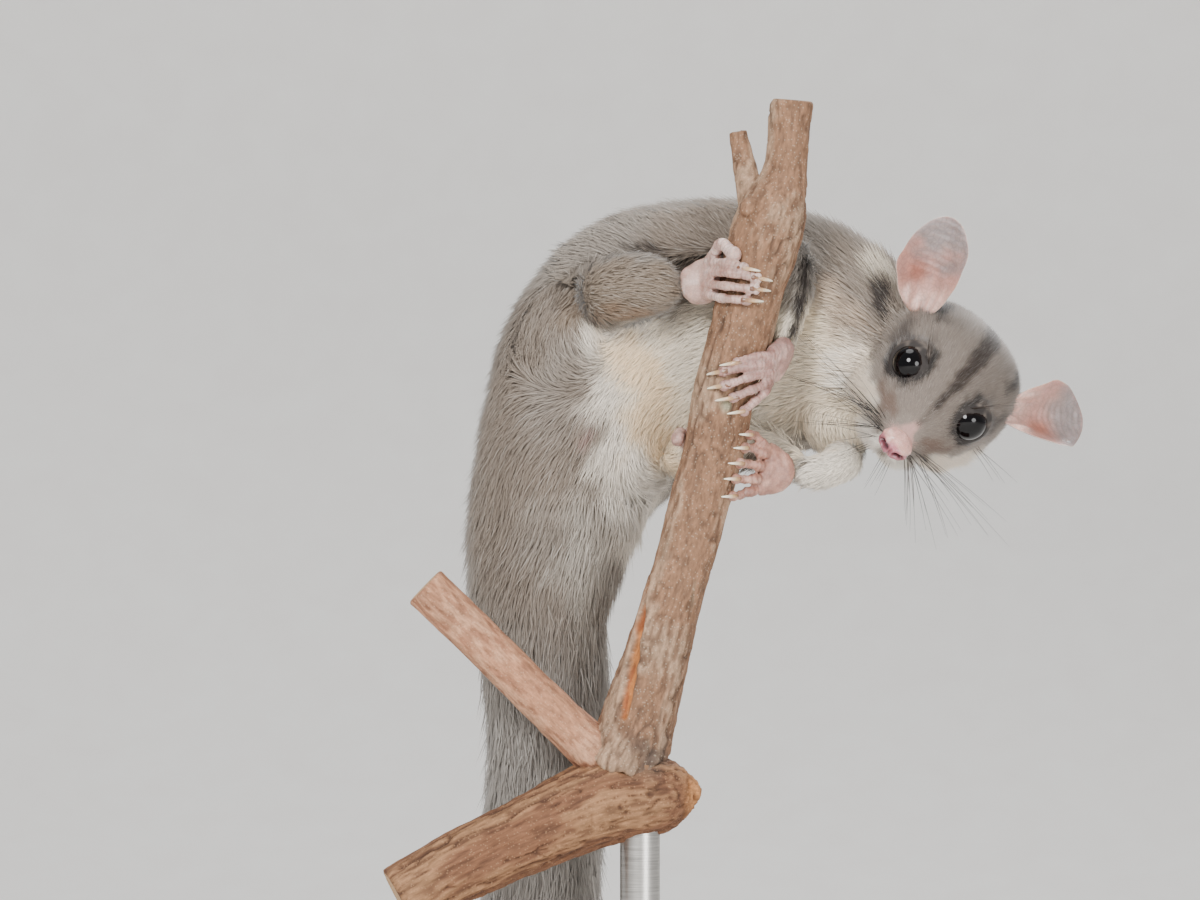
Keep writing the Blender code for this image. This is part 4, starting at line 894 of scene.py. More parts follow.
def growCoat(name, count, density, bent, seed):
    # one mesh of small closed tapered tufts: a bent one is a spindle, a straight one a thin spike
    draw = np.random.RandomState(seed)
    root, normal, lie, tint, sizes, uv = sampled(count, density, draw)
    normal = unit(normal)
    lie = unit(lie + draw.normal(0, 0.15, (count, 3)))
    lie = unit(lie - normal * np.sum(lie * normal, axis=1, keepdims=True))
    across = np.cross(lie, normal)
    length = (sizes[:, 0] * draw.uniform(0.7, 1.15, count))[:, None]
    width = (sizes[:, 1] * draw.uniform(0.75, 1.25, count))[:, None]
    rootLift = np.radians(sizes[:, 2] + draw.normal(0, 6, count))[:, None]
    tipLift = np.radians(sizes[:, 3] + draw.normal(0, 7, count))[:, None]
    root = root - normal * tuft["sink"]
    if bent:
        middle = root + (lie * np.cos(rootLift) + normal * np.sin(rootLift)) * length * tuft["bend"]
        tip = middle + (lie * np.cos(tipLift) + normal * np.sin(tipLift)) * length * (1 - tuft["bend"])
        faces = [(0, 1, 2), (0, 2, 3), (0, 3, 1), (4, 2, 1), (4, 3, 2), (4, 1, 3)]
        along = np.array((0.0, 0.5, 0.5, 0.5, 1.0))
    else:
        middle = root
        lift = (rootLift + tipLift) / 2
        tip = root + (lie * np.cos(lift) + normal * np.sin(lift)) * length
        faces = [(0, 1, 2), (3, 1, 0), (3, 2, 1), (3, 0, 2)]
        along = np.array((0.0, 0.0, 0.0, 1.0))
    ring = [middle + (across * math.cos(turn) + normal * math.sin(turn) * tuft["flatness"]) * width
            for turn in (math.pi / 2, math.pi * 7 / 6, math.pi * 11 / 6)]
    stack = ([root] if bent else []) + ring + [tip]
    perTuft = len(stack)
    verts = np.stack(stack, axis=1).reshape(-1, 3)
    index = (np.arange(count)[:, None, None] * perTuft + np.array(faces)[None]).reshape(-1)
    mesh = bpy.data.meshes.new(name)
    mesh.vertices.add(len(verts))
    mesh.loops.add(len(index))
    mesh.polygons.add(len(index) // 3)
    mesh.loops.foreach_set("vertex_index", index.astype(np.int32))
    mesh.polygons.foreach_set("loop_start", np.arange(0, len(index), 3, dtype=np.int32))
    writePoints(mesh, verts)
    mesh.update(calc_edges=True)
    mesh.shade_smooth()
    randoms = draw.uniform(0, 1, (count, 2))
    strand = np.concatenate([np.tile(along, count)[:, None], np.repeat(randoms, perTuft, axis=0)], axis=1)
    writeAttribute(mesh, "strand", strand)
    writeAttribute(mesh, "coatColour", np.repeat(tint, perTuft, axis=0), "FLOAT_COLOR")
    patch = np.array([(math.cos(2.1 * k) * (1 - a), 2 * a - 1) for k, a in enumerate(along)])
    patch = patch * tuft["patch"]
    everyUv = (uv[:, None, :] + patch[None]).reshape(-1, 2)[index]
    mesh.uv_layers.new(name="OFBake").data.foreach_set("uv", everyUv.astype(np.float32).ravel())
    # each tuft is lit mostly as the body under it is, which softens the coat
    geometric = np.empty(len(verts) * 3, np.float32)
    mesh.vertices.foreach_get("normal", geometric)
    soft = unit(geometric.reshape(-1, 3) * tuft["ownShading"] + np.repeat(normal, perTuft, axis=0))
    mesh.normals_split_custom_set_from_vertices(soft)
    mesh.materials.append(hair)
    obj = bpy.data.objects.new(name, mesh)
    bpy.context.scene.collection.objects.link(obj)
    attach(obj, "root")
    print("coat:", name, len(index) // 3, "triangles")
    return obj


triangles, triangleUv = meshTriangles(skin.data)
triangleArea = np.linalg.norm(np.cross(points[triangles[:, 1]] - points[triangles[:, 0]],
                                       points[triangles[:, 2]] - points[triangles[:, 0]]), axis=1) / 2
onHead = smoothStep(0.45, 0.8, fields[:, headColumn])
onTail = smoothStep(0.3, 0.7, fields[:, tailColumn])
eyeGap = np.min([np.linalg.norm(local - np.array(mirrored(head["eyeCentre"], side)), axis=1)
                 for side in (1, -1)], axis=0)
noseGap = np.linalg.norm(local - np.array((15.0, 0.0, -8.2)), axis=1)
atEye = (eyeGap < head["eyeRadius"] + 0.8) & (local[:, 0] > -2)
haired = np.where(atEye, 0.0, 1.0) * smoothStep(2.2, 4.5, noseGap)
densities = (onTail, (1 - onTail) * (1 - onHead), onHead * haired)
for (name, count, bent, seed, pieces), density in zip(coatPieces, densities):
    for part in range(pieces):
        growCoat("%s%d" % (name, part + 1), count, density, bent, seed + part)

# the perch: three lengths of branch, each fused from its forms with the bark then pressed into it

perch = {
    "stem": [(-12, 0, 146, 8.6), (-9.6, 0, 152, 8.0), (-6, 0, 164, 7.0), (-2.6, 0, 176, 6.3),
             (2, 0, 192, 6.0),
             (4.6, 0, 203, 6.0), (7.8, 0, 215.2, 6.1), (10.6, 0, 228, 6.1), (13.6, 0, 240, 6.4),
             (16.4, 0, 250, 7.2), (19, 0, 258, 6.6), (21.4, 0, 266, 4.4), (22.6, -0.6, 280, 4.1)],
    "twig": [(16, 1, 252, 3.4), (14.4, 1.6, 260, 2.6), (12.6, 2.6, 268, 2.2), (11.6, 3.2, 274, 2.0)],
    "knot": [(14.4, -4.0, 257.5, 2.6), (12.6, -6.2, 259.5, 2.0)],
    "bough": [(-56, -8, 120.5, 6.8), (-44, -6.4, 127, 7.2), (-30, -4, 133.5, 7.8), (-15, -1.5, 139.5, 8.8),
              (-4, 0, 141, 8.0), (4, 0.6, 141.5, 5.6)],
    "sideStem": [(-13, -1, 146, 6.0), (-20, -1.6, 152.6, 4.9), (-28, -2.3, 160.4, 4.5),
                 (-39, -3, 171.2, 4.5),
                 (-51, -3.7, 182.8, 4.6)],
    "voxel": 0.42,
    # where bark is torn off the stem: bare wood, then a raised edge of bark round it
    "scar": [(-6.6, -3.0, 184.5, 0.4), (-8.0, -4.6, 176, 0.9), (-10.2, -6.4, 164, 1.1),
             (-11.4, -7.0, 157, 0.6)],
    "scarDepth": 0.6,
    "lichen": [(4.0, -5.4, 183, 1.1), (3.2, -5.6, 174, 1.3), (9.5, -5.6, 219, 0.9)],
    "collar": [(-15, -3, 149, 3), (-7, -4, 149, 3)],    # rough old bark where the stems leave the bough
    "brokenEnd": (1.5, 0.3, 141.4),
}
barks = {    # dark, middle and light shades, how the grain is stretched, then the sizes of the relief
    "stem": {"shades": ("5a4436", "87654d", "a88d74"), "stretch": 2.6, "lump": 5.0, "lumpHeight": 0.34,
             "fissure": 2.2, "fissureDepth": 0.34, "flake": 0.8, "flakeHeight": 0.13},
    "bough": {"shades": ("472f23", "77523b", "9c7654"), "stretch": 5.0, "lump": 4.5, "lumpHeight": 0.55,
              "fissure": 1.3, "fissureDepth": 0.5, "flake": 0.6, "flakeHeight": 0.2},
    "sideStem": {"shades": ("7d5340", "ab7b5e", "bf9476"), "stretch": 3.5, "lump": 6.0, "lumpHeight": 0.2,
                 "fissure": 3.0, "fissureDepth": 0.12, "flake": 0.7, "flakeHeight": 0.06},
}


def besideAxis(points, rows):
    # where points lie beside a branch's axis, in millimetres: along it, across it both ways, its radius,
    # its length
    fine = through(rows, 50 * len(rows))
    travelled = np.concatenate([[0], np.cumsum(np.linalg.norm(np.diff(fine[:, :3], axis=0), axis=1))])
    tangents = unit(np.gradient(fine[:, :3], axis=0))
    side = unit(np.cross(tangents, (0.0, -1.0, 0.0)))
    front = np.cross(side, tangents)
    nearest = np.concatenate([np.argmin(((block[:, None, :] - fine[None, :, :3]) ** 2).sum(axis=2), axis=1)
                              for block in np.array_split(points, max(1, len(points) // 4000))])
    offset = points - fine[nearest, :3]
    along = travelled[nearest] + (offset * tangents[nearest]).sum(axis=1)
    return (along, (offset * side[nearest]).sum(axis=1), (offset * front[nearest]).sum(axis=1),
            fine[nearest, 3], travelled[-1])


def blendTone(colours, code, share):
    return colours * (1 - share[:, None]) + np.array(linear(code)[:3]) * share[:, None]


def pressBark(piece, rows, bark, cutEnds):
    # lumps, long fissures and small flakes along the grain, with the colours that go with them
    points, normals = readPoints(piece.data)
    along, across, deep, radius, length = besideAxis(points, rows)
    grain = np.stack([across, deep, along / bark["stretch"]], axis=1)
    lumps = cloud(grain, bark["lump"])
    crack = smoothStep(0.72, 1.0, 1 - np.abs(cloud(grain + 90, bark["fissure"])) * 1.4)
    crack *= smoothStep(-0.4, 0.3, cloud(grain + 30, bark["lump"] * 1.3))
    flakes = cloud(grain + 60, bark["flake"])
    height = (lumps * bark["lumpHeight"] - crack * bark["fissureDepth"] + flakes * bark["flakeHeight"])
    dark, middle, light = bark["shades"]
    colours = np.tile(np.array(linear(middle)[:3]), (len(points), 1))
    colours = blendTone(colours, light, 0.65 * smoothStep(-0.1, 0.9, lumps + 0.4 * flakes))
    # painted shade: the dark bark colour is laid into the fissures and the hollows between flakes
    colours = blendTone(colours, dark, np.clip(0.8 * crack + 0.55 * smoothStep(0.0, 0.9, -flakes), 0, 0.9))

    gap, reach = toLine(points, perch["scar"])
    bare = 1 - smoothStep(-0.25, 0.35, gap - reach + 0.35 * cloud(grain, 1.1))
    lip = np.exp(-((gap - reach - 0.7) / 0.5) ** 2) * (gap < 6)
    fibres = cloud(np.stack([across, deep, along / 9], axis=1), 0.7)
    height = height * (1 - bare) + bare * (-perch["scarDepth"] + 0.1 * fibres) + 0.45 * lip
    colours = blendTone(colours, "b0713f", bare)
    colours = blendTone(colours, "7a3f27", bare * 0.75 * smoothStep(0.0, 0.8, fibres + 0.5 * lumps))
    gap, reach = toLine(points, perch["lichen"][:2])
    lichen = np.maximum(np.exp(-(gap / reach) ** 4),
                        np.exp(-(toLine(points, perch["lichen"][2:])[0] / 1.6) ** 4))
    colours = blendTone(colours, "8a8d76", 0.7 * lichen * smoothStep(-0.5, 0.4, cloud(grain + 15, 0.9)))
    gap, reach = toLine(points, perch["collar"])
    rough = 1 - smoothStep(0.0, 5.0, gap - reach)
    height += rough * (0.55 * cloud(points, 1.9) + 0.3 * cloud(points + 20, 0.9))
    colours = blendTone(colours, "524740", rough * 0.7 * smoothStep(-0.5, 0.6, cloud(points, 2.4)))
    torn = 1 - smoothStep(2.5, 7.0, np.linalg.norm(points - np.array(perch["brokenEnd"]), axis=1))
    torn *= float(rows is perch["bough"])
    height += torn * (-0.9 * smoothStep(0.1, 0.5, cloud(grain + 44, 1.5)) - 0.3 * np.abs(fibres))
    colours = blendTone(colours, "b98152", torn * 0.9)
    colours = blendTone(colours, "5c3a26", torn * 0.8 * smoothStep(0.2, 0.6, cloud(grain + 44, 1.5)))

    sawn = np.zeros(len(points))
    for isCut, left in zip(cutEnds, (along, length - along)):
        if isCut:
            face = 1 - smoothStep(0.35, 0.75, left)
            sawn = np.maximum(sawn, face * (1 - smoothStep(-1.0, -0.6, np.hypot(across, deep) - radius)))
            height *= smoothStep(0.2, 1.2, left)
    rings = 0.5 + 0.5 * np.sin(np.hypot(across + 0.6, deep - 0.3) * math.tau / 0.8)
    colours = blendTone(colours, "c9a67c", sawn)
    colours = blendTone(colours, "97704a", sawn * 0.7 * rings)
    writePoints(piece.data, points + normals * height[:, None])
    writeAttribute(piece.data, "tone", colours, "FLOAT_COLOR")
    writeAttribute(piece.data, "grain", np.stack([across, deep, along], axis=1) * mm)
    writeAttribute(piece.data, "bare", np.maximum(np.maximum(bare, sawn), 0.6 * torn), "FLOAT")


def barkMaterial(name, speck, stretch):
    # dry bark: matt, fine stringy relief along the branch and pale specks; bare wood is smoother
    made, tree, shader = newMaterial(name)
    tone = addNode(tree, "Attribute", {"attribute_name": "tone"})
    bare = addNode(tree, "Attribute", {"attribute_name": "bare"})
    grain = addNode(tree, "Attribute", {"attribute_name": "grain"})
    laid = addNode(tree, "Mapping", None, {
        "Vector": grain.outputs["Vector"], "Scale": (1.0, 1.0, 1 / stretch)})
    fibre = addNode(tree, "TexNoise", None, {"Vector": laid.outputs[0], "Scale": 1 / (0.55 * mm),
                                             "Detail": 4.0,
                                             "Roughness": 0.62})
    mottle = addNode(tree, "TexNoise", None, {"Vector": laid.outputs[0], "Scale": 1 / (2.6 * mm),
                                              "Detail": 3.0})
    dots = addNode(tree, "TexVoronoi", None, {"Vector": grain.outputs["Vector"], "Scale": 1 / (0.7 * mm)})
    shade = addNode(tree, "MapRange", None, {"Value": fibre.outputs["Fac"], "From Min": 0.3,
                                             "From Max": 0.7,
                                             "To Min": 0.62, "To Max": 1.22})
    wash = addNode(tree, "MapRange", None, {"Value": mottle.outputs["Fac"], "From Min": 0.3,
                                            "From Max": 0.7,
                                            "To Min": 0.85, "To Max": 1.12})
    both = addNode(tree, "Math", {"operation": "MULTIPLY"}, {0: shade.outputs[0], 1: wash.outputs[0]})
    tinted = addNode(tree, "VectorMath", {"operation": "SCALE"},
                     {0: tone.outputs["Color"], "Scale": both.outputs[0]})
    specks = addNode(tree, "MapRange", None, {"Value": dots.outputs["Distance"], "From Min": 0.3,
                                              "From Max": 0.16,
                                              "To Min": 0.0, "To Max": 0.3})
    onBark = addNode(tree, "MapRange", None, {"Value": bare.outputs["Fac"], "To Min": 1.0, "To Max": 0.1})
    shown = addNode(tree, "Math", {"operation": "MULTIPLY"}, {0: specks.outputs[0], 1: onBark.outputs[0]})
    mixed = addNode(tree, "Mix", {"data_type": "RGBA"},
                    {0: shown.outputs[0], 6: tinted.outputs[0], 7: linear(speck)})
    bump = addNode(tree, "Bump", None, {"Height": fibre.outputs["Fac"], "Strength": 0.7,
                                        "Distance": 0.25 * mm})
    setShader(tree, shader, {"Base Color": mixed.outputs[2], "Roughness": 0.82, "Specular IOR Level": 0.25,
                             "Normal": bump.outputs[0]})
    return made


def growPerch():
    made = {
        "perchStem": (("stem", "twig", "knot"), ((False, False), (True, False), (True, True)), "stem",
                      barkMaterial("barkBrownSpeckled", "bfae98", 2.5), "perch_stem", (False, True)),
        "perchBough": (("bough",), ((False, True),), "bough",
                       barkMaterial("barkRedFibrous", "b08a68", 6.0), "perch_bough", (True, False)),
        "perchSideStem": (("sideStem",), ((True, False),), "sideStem",
                          barkMaterial("barkOrangeSmooth", "c9a68a", 3.0), "perch_side_stem",
                          (False, True)),
    }
    for name, (lines, ends, kind, material, node, cutEnds) in made.items():
        forms = [placed(tube(wide(perch[line]), 40, 90 if line == kind else 24, facing=(0.0, -0.99, 0.1),
                             roundEnds=end))
                 for line, end in zip(lines, ends)]
        piece = fused(name, forms, perch["voxel"], 2, material)
        pressBark(piece, perch[kind], barks[kind], cutEnds)
        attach(piece, "root")
        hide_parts(node)
        print("perch:", name, len(piece.data.polygons), "faces")


growPerch()


# hands and feet: palms and fingers fused, pressed on to the bark, with the creases of bare skin

stemCore = through(perch["stem"], 400)


def stemAt(height):
    return [float(np.interp(height, stemCore[:, 2], stemCore[:, k])) for k in (0, 1, 3)]


def onStem(height, angle, lift):
    # a point a lift over the stem's bark, at an angle round it from the front towards +x
    x, y, radius = stemAt(height)
    a = math.radians(angle)
    return (x + (radius + lift) * math.sin(a), y - (radius + lift) * math.cos(a), height)


paws = {
    "voxel": 0.26, "fingerRadius": 0.98, "clawLength": 3.2, "clawRadius": 0.5, "creaseStep": 0.85,
    "creaseDepth": 0.07,
    # palms from the wrist on: x, y, z, half width along the stem, half thickness;
    # digits: height on the stem, angle round it, lift off the bark at each joint
    "hand_right": {"palm": [(21.6, 3.6, 231.4, 2.6, 2.1), (19.9, 0.4, 228.6, 3.8, 2.1),
                            (18.0, -2.6, 226.4, 4.6, 1.8)],
                   "tracks": [((228.8, 62, 2.3), (228.6, 34, 1.7), (227.4, 8, 1.0)),
                              ((227.2, 64, 2.6), (226.6, 28, 1.9), (225.6, -13, 1.0)),
                              ((225.4, 64, 2.6), (224.4, 28, 1.9), (222.8, -6, 1.0)),
                              ((223.6, 64, 2.5), (222.0, 38, 1.8), (220.4, 13, 1.0)),
                              ((221.8, 66, 2.3), (219.8, 52, 1.6), (217.8, 38, 1.0))],
                   "clawless": (), "tones": ("ab877e", "8a6258", "c9a69c")},
    "hand_left": {"palm": [(22.8, 3.4, 204.7, 3.0, 2.4), (18.6, 1.8, 205.8, 5.0, 2.3),
                           (15.6, 0.0, 206.6, 6.0, 2.0)],
                  "tracks": [((211.4, 84, 3.6), (212.8, 80, 1.9), (213.0, 68, 1.2)),
                             ((209.3, 82, 4.2), (210.4, 78, 2.1), (210.4, 64, 1.2)),
                             ((206.8, 82, 4.4), (207.2, 77, 2.2), (207.3, 62, 1.2)),
                             ((204.2, 82, 4.2), (204.1, 77, 2.2), (204.2, 62, 1.2)),
                             ((201.6, 84, 3.8), (201.0, 80, 2.0), (200.8, 66, 1.2))],
                  "clawless": (), "tones": ("a87c6c", "7b5245", "cba08e")},
    "foot_right": {"palm": [(0.2, 2.6, 242.0, 3.4, 2.5), (5.0, 1.4, 243.8, 4.6, 2.2),
                            (7.4, -1.8, 245.2, 4.6, 1.9)],
                   "tracks": [((248.0, -84, 2.4), (251.0, -64, 2.2), (249.0, -40, 1.4)),
                              ((247.4, -74, 2.2), (247.2, -50, 1.7), (246.2, -20, 1.0)),
                              ((245.4, -74, 2.2), (245.2, -36, 1.7), (244.2, 4, 1.0)),
                              ((243.2, -76, 2.2), (242.6, -36, 1.7), (242.0, 6, 1.0)),
                              ((241.0, -78, 2.0), (240.2, -40, 1.6), (239.8, -2, 1.0))],
                   "clawless": (0,), "tones": ("b8978b", "906a5e", "d6bdb3")},
    "foot_left": {"palm": [(1.9, 11.6, 212.6, 2.8, 2.0), (2.6, 8.6, 211.8, 3.8, 1.8),
                           (3.6, 6.4, 211.4, 4.0, 1.7)],
                  "tracks": [((211.6, -138, 2.2), (213.2, -116, 1.9), (212.2, -92, 1.4)),
                             ((213.6, -160, 1.9), (214.4, -184, 1.4), (214.6, -206, 1.0)),
                             ((211.8, -162, 1.9), (211.8, -192, 1.4), (211.8, -222, 1.0)),
                             ((209.8, -162, 1.9), (209.2, -192, 1.4), (209.0, -222, 1.0)),
                             ((208.0, -160, 1.8), (206.8, -186, 1.3), (206.4, -212, 1.0))],
                  "clawless": (0,), "tones": ("b08d82", "8a6458", "cfb2a8")},
}


def knuckle(palm, track):
    centre, halfWidth = palm[-2][:3], palm[-2][3]
    aside = max(-0.6 * halfWidth, min(0.6 * halfWidth, track[0][0] - centre[2]))
    return (centre[0] + 0.2 * aside, centre[1], centre[2] + aside)


def digitRows(palm, track, radius):
    # joints swell and the shafts between them are slimmer; the tip ends in a round pad
    points = through([knuckle(palm, track)] + [onStem(*place) for place in track], 10)
    sizes = [1.05, 0.95, 0.95, 1.12, 0.9, 0.88, 1.04, 0.86, 0.92, 1.06]
    return [(*p, radius * s) for p, s in zip(points, sizes)]


def clawRows(track):
    # a hooked claw from the top of a digit's tip down to the bark
    height, angle, lift = track[-1]
    fall = max(-1.0, min(1.0, height - track[-2][0])) * 0.6
    onward = 1 if angle > track[-2][1] else -1
    turn = onward * math.degrees(paws["clawLength"] / stemAt(height)[2])
    rows = []
    for share in np.linspace(-0.35, 1.0, 9):
        place = onStem(height + fall * share, angle + turn * share, lift + 0.62 - 0.82 * share ** 2)
        deep = paws["clawRadius"] * (1 - 0.8 * max(0.0, share) ** 1.4)
        rows.append((*place, 0.72 * deep, deep, deep, 0.0))
    return rows


def bareSkinMaterial(name, crease, gloss, mottleSize=1.6):
    # naked living skin: blood shows through it softly, finely creased, with painted shade along the creases
    # and a faint oily sheen
    made, tree, shader = newMaterial(name)
    tone = addNode(tree, "Attribute", {"attribute_name": "tone"})
    place = addNode(tree, "TexCoord").outputs["Object"]
    blush = addNode(tree, "TexNoise", None, {"Vector": place, "Scale": 1 / (mottleSize * mm),
                                             "Detail": 3.0})
    folds = addNode(tree, "TexVoronoi", {"feature": "DISTANCE_TO_EDGE"},
                    {"Vector": place, "Scale": 1 / (crease * mm)})
    pores = addNode(tree, "TexNoise", None, {"Vector": place, "Scale": 1 / (0.3 * mm), "Detail": 2.0})
    shade = addNode(tree, "MapRange", None, {"Value": blush.outputs["Fac"], "From Min": 0.3,
                                             "From Max": 0.7,
                                             "To Min": 0.84, "To Max": 1.14})
    # painted shade: the base colour is darkened along the crease lines
    line = addNode(tree, "MapRange", None, {"Value": folds.outputs["Distance"], "From Max": 0.16,
                                            "To Min": 0.82,
                                            "To Max": 1.0})
    both = addNode(tree, "Math", {"operation": "MULTIPLY"}, {0: shade.outputs[0], 1: line.outputs[0]})
    tinted = addNode(tree, "VectorMath", {"operation": "SCALE"},
                     {0: tone.outputs["Color"], "Scale": both.outputs[0]})
    relief = addNode(tree, "Math", {"operation": "MULTIPLY_ADD"},
                     {0: pores.outputs["Fac"], 1: 0.35, 2: line.outputs[0]})
    bump = addNode(tree, "Bump", None, {"Height": relief.outputs[0], "Strength": 0.45,
                                        "Distance": 0.12 * mm})
    setShader(tree, shader, {"Base Color": tinted.outputs[0], "Roughness": gloss, "Normal": bump.outputs[0],
                             "Subsurface Weight": 0.3, "Subsurface Radius": (1.0, 0.4, 0.25),
                             "Subsurface Scale": 0.9 * mm, "Specular IOR Level": 0.5})
    return made


def hornMaterial():
    # claw horn: brown at the root, clearing to a pale tip, smooth and a little glossy
    made, tree, shader = newMaterial("clawHornGlossy")
    along = addNode(tree, "Attribute", {"attribute_name": "clawShare"})
    place = addNode(tree, "TexCoord").outputs["Object"]
    streak = addNode(tree, "TexNoise", None, {"Vector": place, "Scale": 1 / (0.4 * mm)})
    moved = addNode(tree, "Math", {"operation": "MULTIPLY_ADD"},
                    {0: streak.outputs["Fac"], 1: 0.2, 2: along.outputs["Fac"]})
    tint = addNode(tree, "ValToRGB", {"ramp": [(0.25, "6d4a38"), (0.95, "f1e8d4"), (0.6, "c09c74")]},
                   {"Fac": moved.outputs[0]})
    setShader(tree, shader, {"Base Color": tint.outputs["Color"], "Roughness": 0.25, "Coat Weight": 0.3,
                             "Subsurface Weight": 0.15, "Subsurface Scale": 0.4 * mm})
    return made


def makePaw(name, settings, material):
    palm, radius = settings["palm"], paws["fingerRadius"]
    rows = [(x, y, z, thick, half, half, 0) for x, y, z, half, thick in palm]
    forms = [placed(tube(rows, 28, 20, facing=(0.2, 0.0, 1.0)))]
    fingers = []
    for i, track in enumerate(settings["tracks"]):
        size = radius * (1.4 if i in settings["clawless"] else 1.0)
        rows = digitRows(palm, track, size)
        fingers.append(rows)
        forms.append(placed(tube(wide(rows), 20, 30, facing=(0.0, 0.1, 1.0))))
        forms.append(placed(ball(onStem(track[-1][0], track[-1][1], track[-1][2] - 0.1),
                                 [size * 1.16] * 3, 16, 12)))
        forms.append(placed(ball(onStem(track[0][0], track[0][1], track[0][2] - 0.5), [size * 1.15] * 3,
                                 16, 12)))
    paw = fused(name, forms, paws["voxel"], 2, material)
    points, normals = readPoints(paw.data)
    nearest, along = np.full(len(points), 1e9), np.zeros(len(points))
    for rows in fingers:
        travelled = np.concatenate([
            [0], np.cumsum(np.linalg.norm(np.diff(np.array(rows)[:, :3], axis=0), axis=1))])
        gap, reached = toLine(points, [(*row[:3], t) for row, t in zip(rows, travelled)])
        nearer = gap < nearest
        nearest, along = np.where(nearer, gap, nearest), np.where(nearer, reached, along)
    ringed = np.sin(along * math.tau / paws["creaseStep"] + 1.5 * cloud(points, 1.5))
    groove = smoothStep(0.55, 1.0, ringed) * smoothStep(2.0, 3.5, along)
    height = -paws["creaseDepth"] * groove + 0.06 * cloud(points, 0.8)
    points = points + normals * height[:, None]
    _, across, deep, bark, _ = besideAxis(points, perch["stem"])
    away = np.stack([across, deep], axis=1)
    inside = np.maximum(bark + 0.1 - np.linalg.norm(away, axis=1), 0)
    x, y = points[:, 0] - np.interp(points[:, 2], stemCore[:, 2], stemCore[:, 0]), points[:, 1]
    outward = unit(np.stack([x, y, np.zeros(len(points))], axis=1))
    points += outward * inside[:, None]
    writePoints(paw.data, points)
    base, shade, pale = settings["tones"]
    colours = np.tile(np.array(linear(base)[:3]), (len(points), 1))
    colours = blendTone(colours, pale, 0.75 * smoothStep(-0.1, 0.8, cloud(points, 2.1)))
    ends = np.max([np.exp(-(np.linalg.norm(points - np.array(rows[-1][:3]),
                                           axis=1) / 1.3) ** 2) for rows in fingers], axis=0)
    colours = blendTone(colours, pale, 0.6 * ends)
    # painted shade in the finger creases, with some random mottling in the darker tone
    colours = blendTone(colours, shade, np.clip(
        0.6 * groove + 0.5 * smoothStep(0.2, 0.9, cloud(points + 30, 1.7)), 0, 0.8))
    writeAttribute(paw.data, "tone", colours, "FLOAT_COLOR")
    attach(paw, "root")
    return paw


def makePaws():
    skinPink, horn = bareSkinMaterial("bareSkinCreased", 0.7, 0.42), hornMaterial()
    whole, lines = bmesh.new(), []
    for node, settings in ((key, value) for key, value in paws.items() if isinstance(value, dict)):
        first, second = node.split("_")
        paw = makePaw(first + second.capitalize(), settings, skinPink)
        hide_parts(node)
        print("paws:", paw.name, len(paw.data.polygons), "faces")
        for i, track in enumerate(settings["tracks"]):
            if i in settings["clawless"]:
                continue
            rows = clawRows(track)
            lines.append([(*row[:3], share) for row, share in zip(rows, np.linspace(0, 1, len(rows)))])
            part = placed(tube(rows, 12, 14, facing=(0.0, 0.1, 1.0)))
            mesh = bpy.data.meshes.new("claw")
            part.to_mesh(mesh)
            part.free()
            whole.from_mesh(mesh)
            bpy.data.meshes.remove(mesh)
    claws = makeObject("claws", whole, horn)
    points, _ = readPoints(claws.data)
    read = [toLine(points, line) for line in lines]
    nearest = np.argmin([gap for gap, _ in read], axis=0)
    shares = np.array([share for _, share in read])[nearest, np.arange(len(points))]
    writeAttribute(claws.data, "clawShare", shares, "FLOAT")
    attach(claws, "root")
    print("paws:", len(lines), "claws")


makePaws()

# ears: thin cupped leaves with folds at the root, ribs across the outer half and a fine rolled rim

ears = {
    "root": (-8.6, 13.6, 3.2), "length": 21.5, "width": 7.0, "thick": 0.5,
    # direction from root to tip, then the way the cup opens, in the head frame
    "earRight": {"side": -1, "lies": ((-0.33, -0.4, 0.85), (0.85, -0.3, 0.4)), "node": "ear_right"},
    "earLeft": {"side": 1, "lies": ((-0.78, 0.6, 0.1), (0.4, 0.33, 0.85)), "node": "ear_left"},
    "ribStep": 1.5, "ribHeight": 0.09,
    # folds inside the cup: share across from the middle, shares of the length where it starts and ends,
    # height, width
    "folds": [(-0.42, 0.02, 0.34, 1.1, 0.1), (-0.1, 0.0, 0.24, 1.3, 0.12), (0.22, 0.02, 0.3, 0.9, 0.1),
              (0.5, 0.03, 0.42, 0.7, 0.09)],
    "tones": {"inside": "b78c80", "outside": "8f8580", "grey": "877e7c", "root": "d9b5a8",
              "blush": "9a5b48",
              "rim": "cfc0b6"},
}


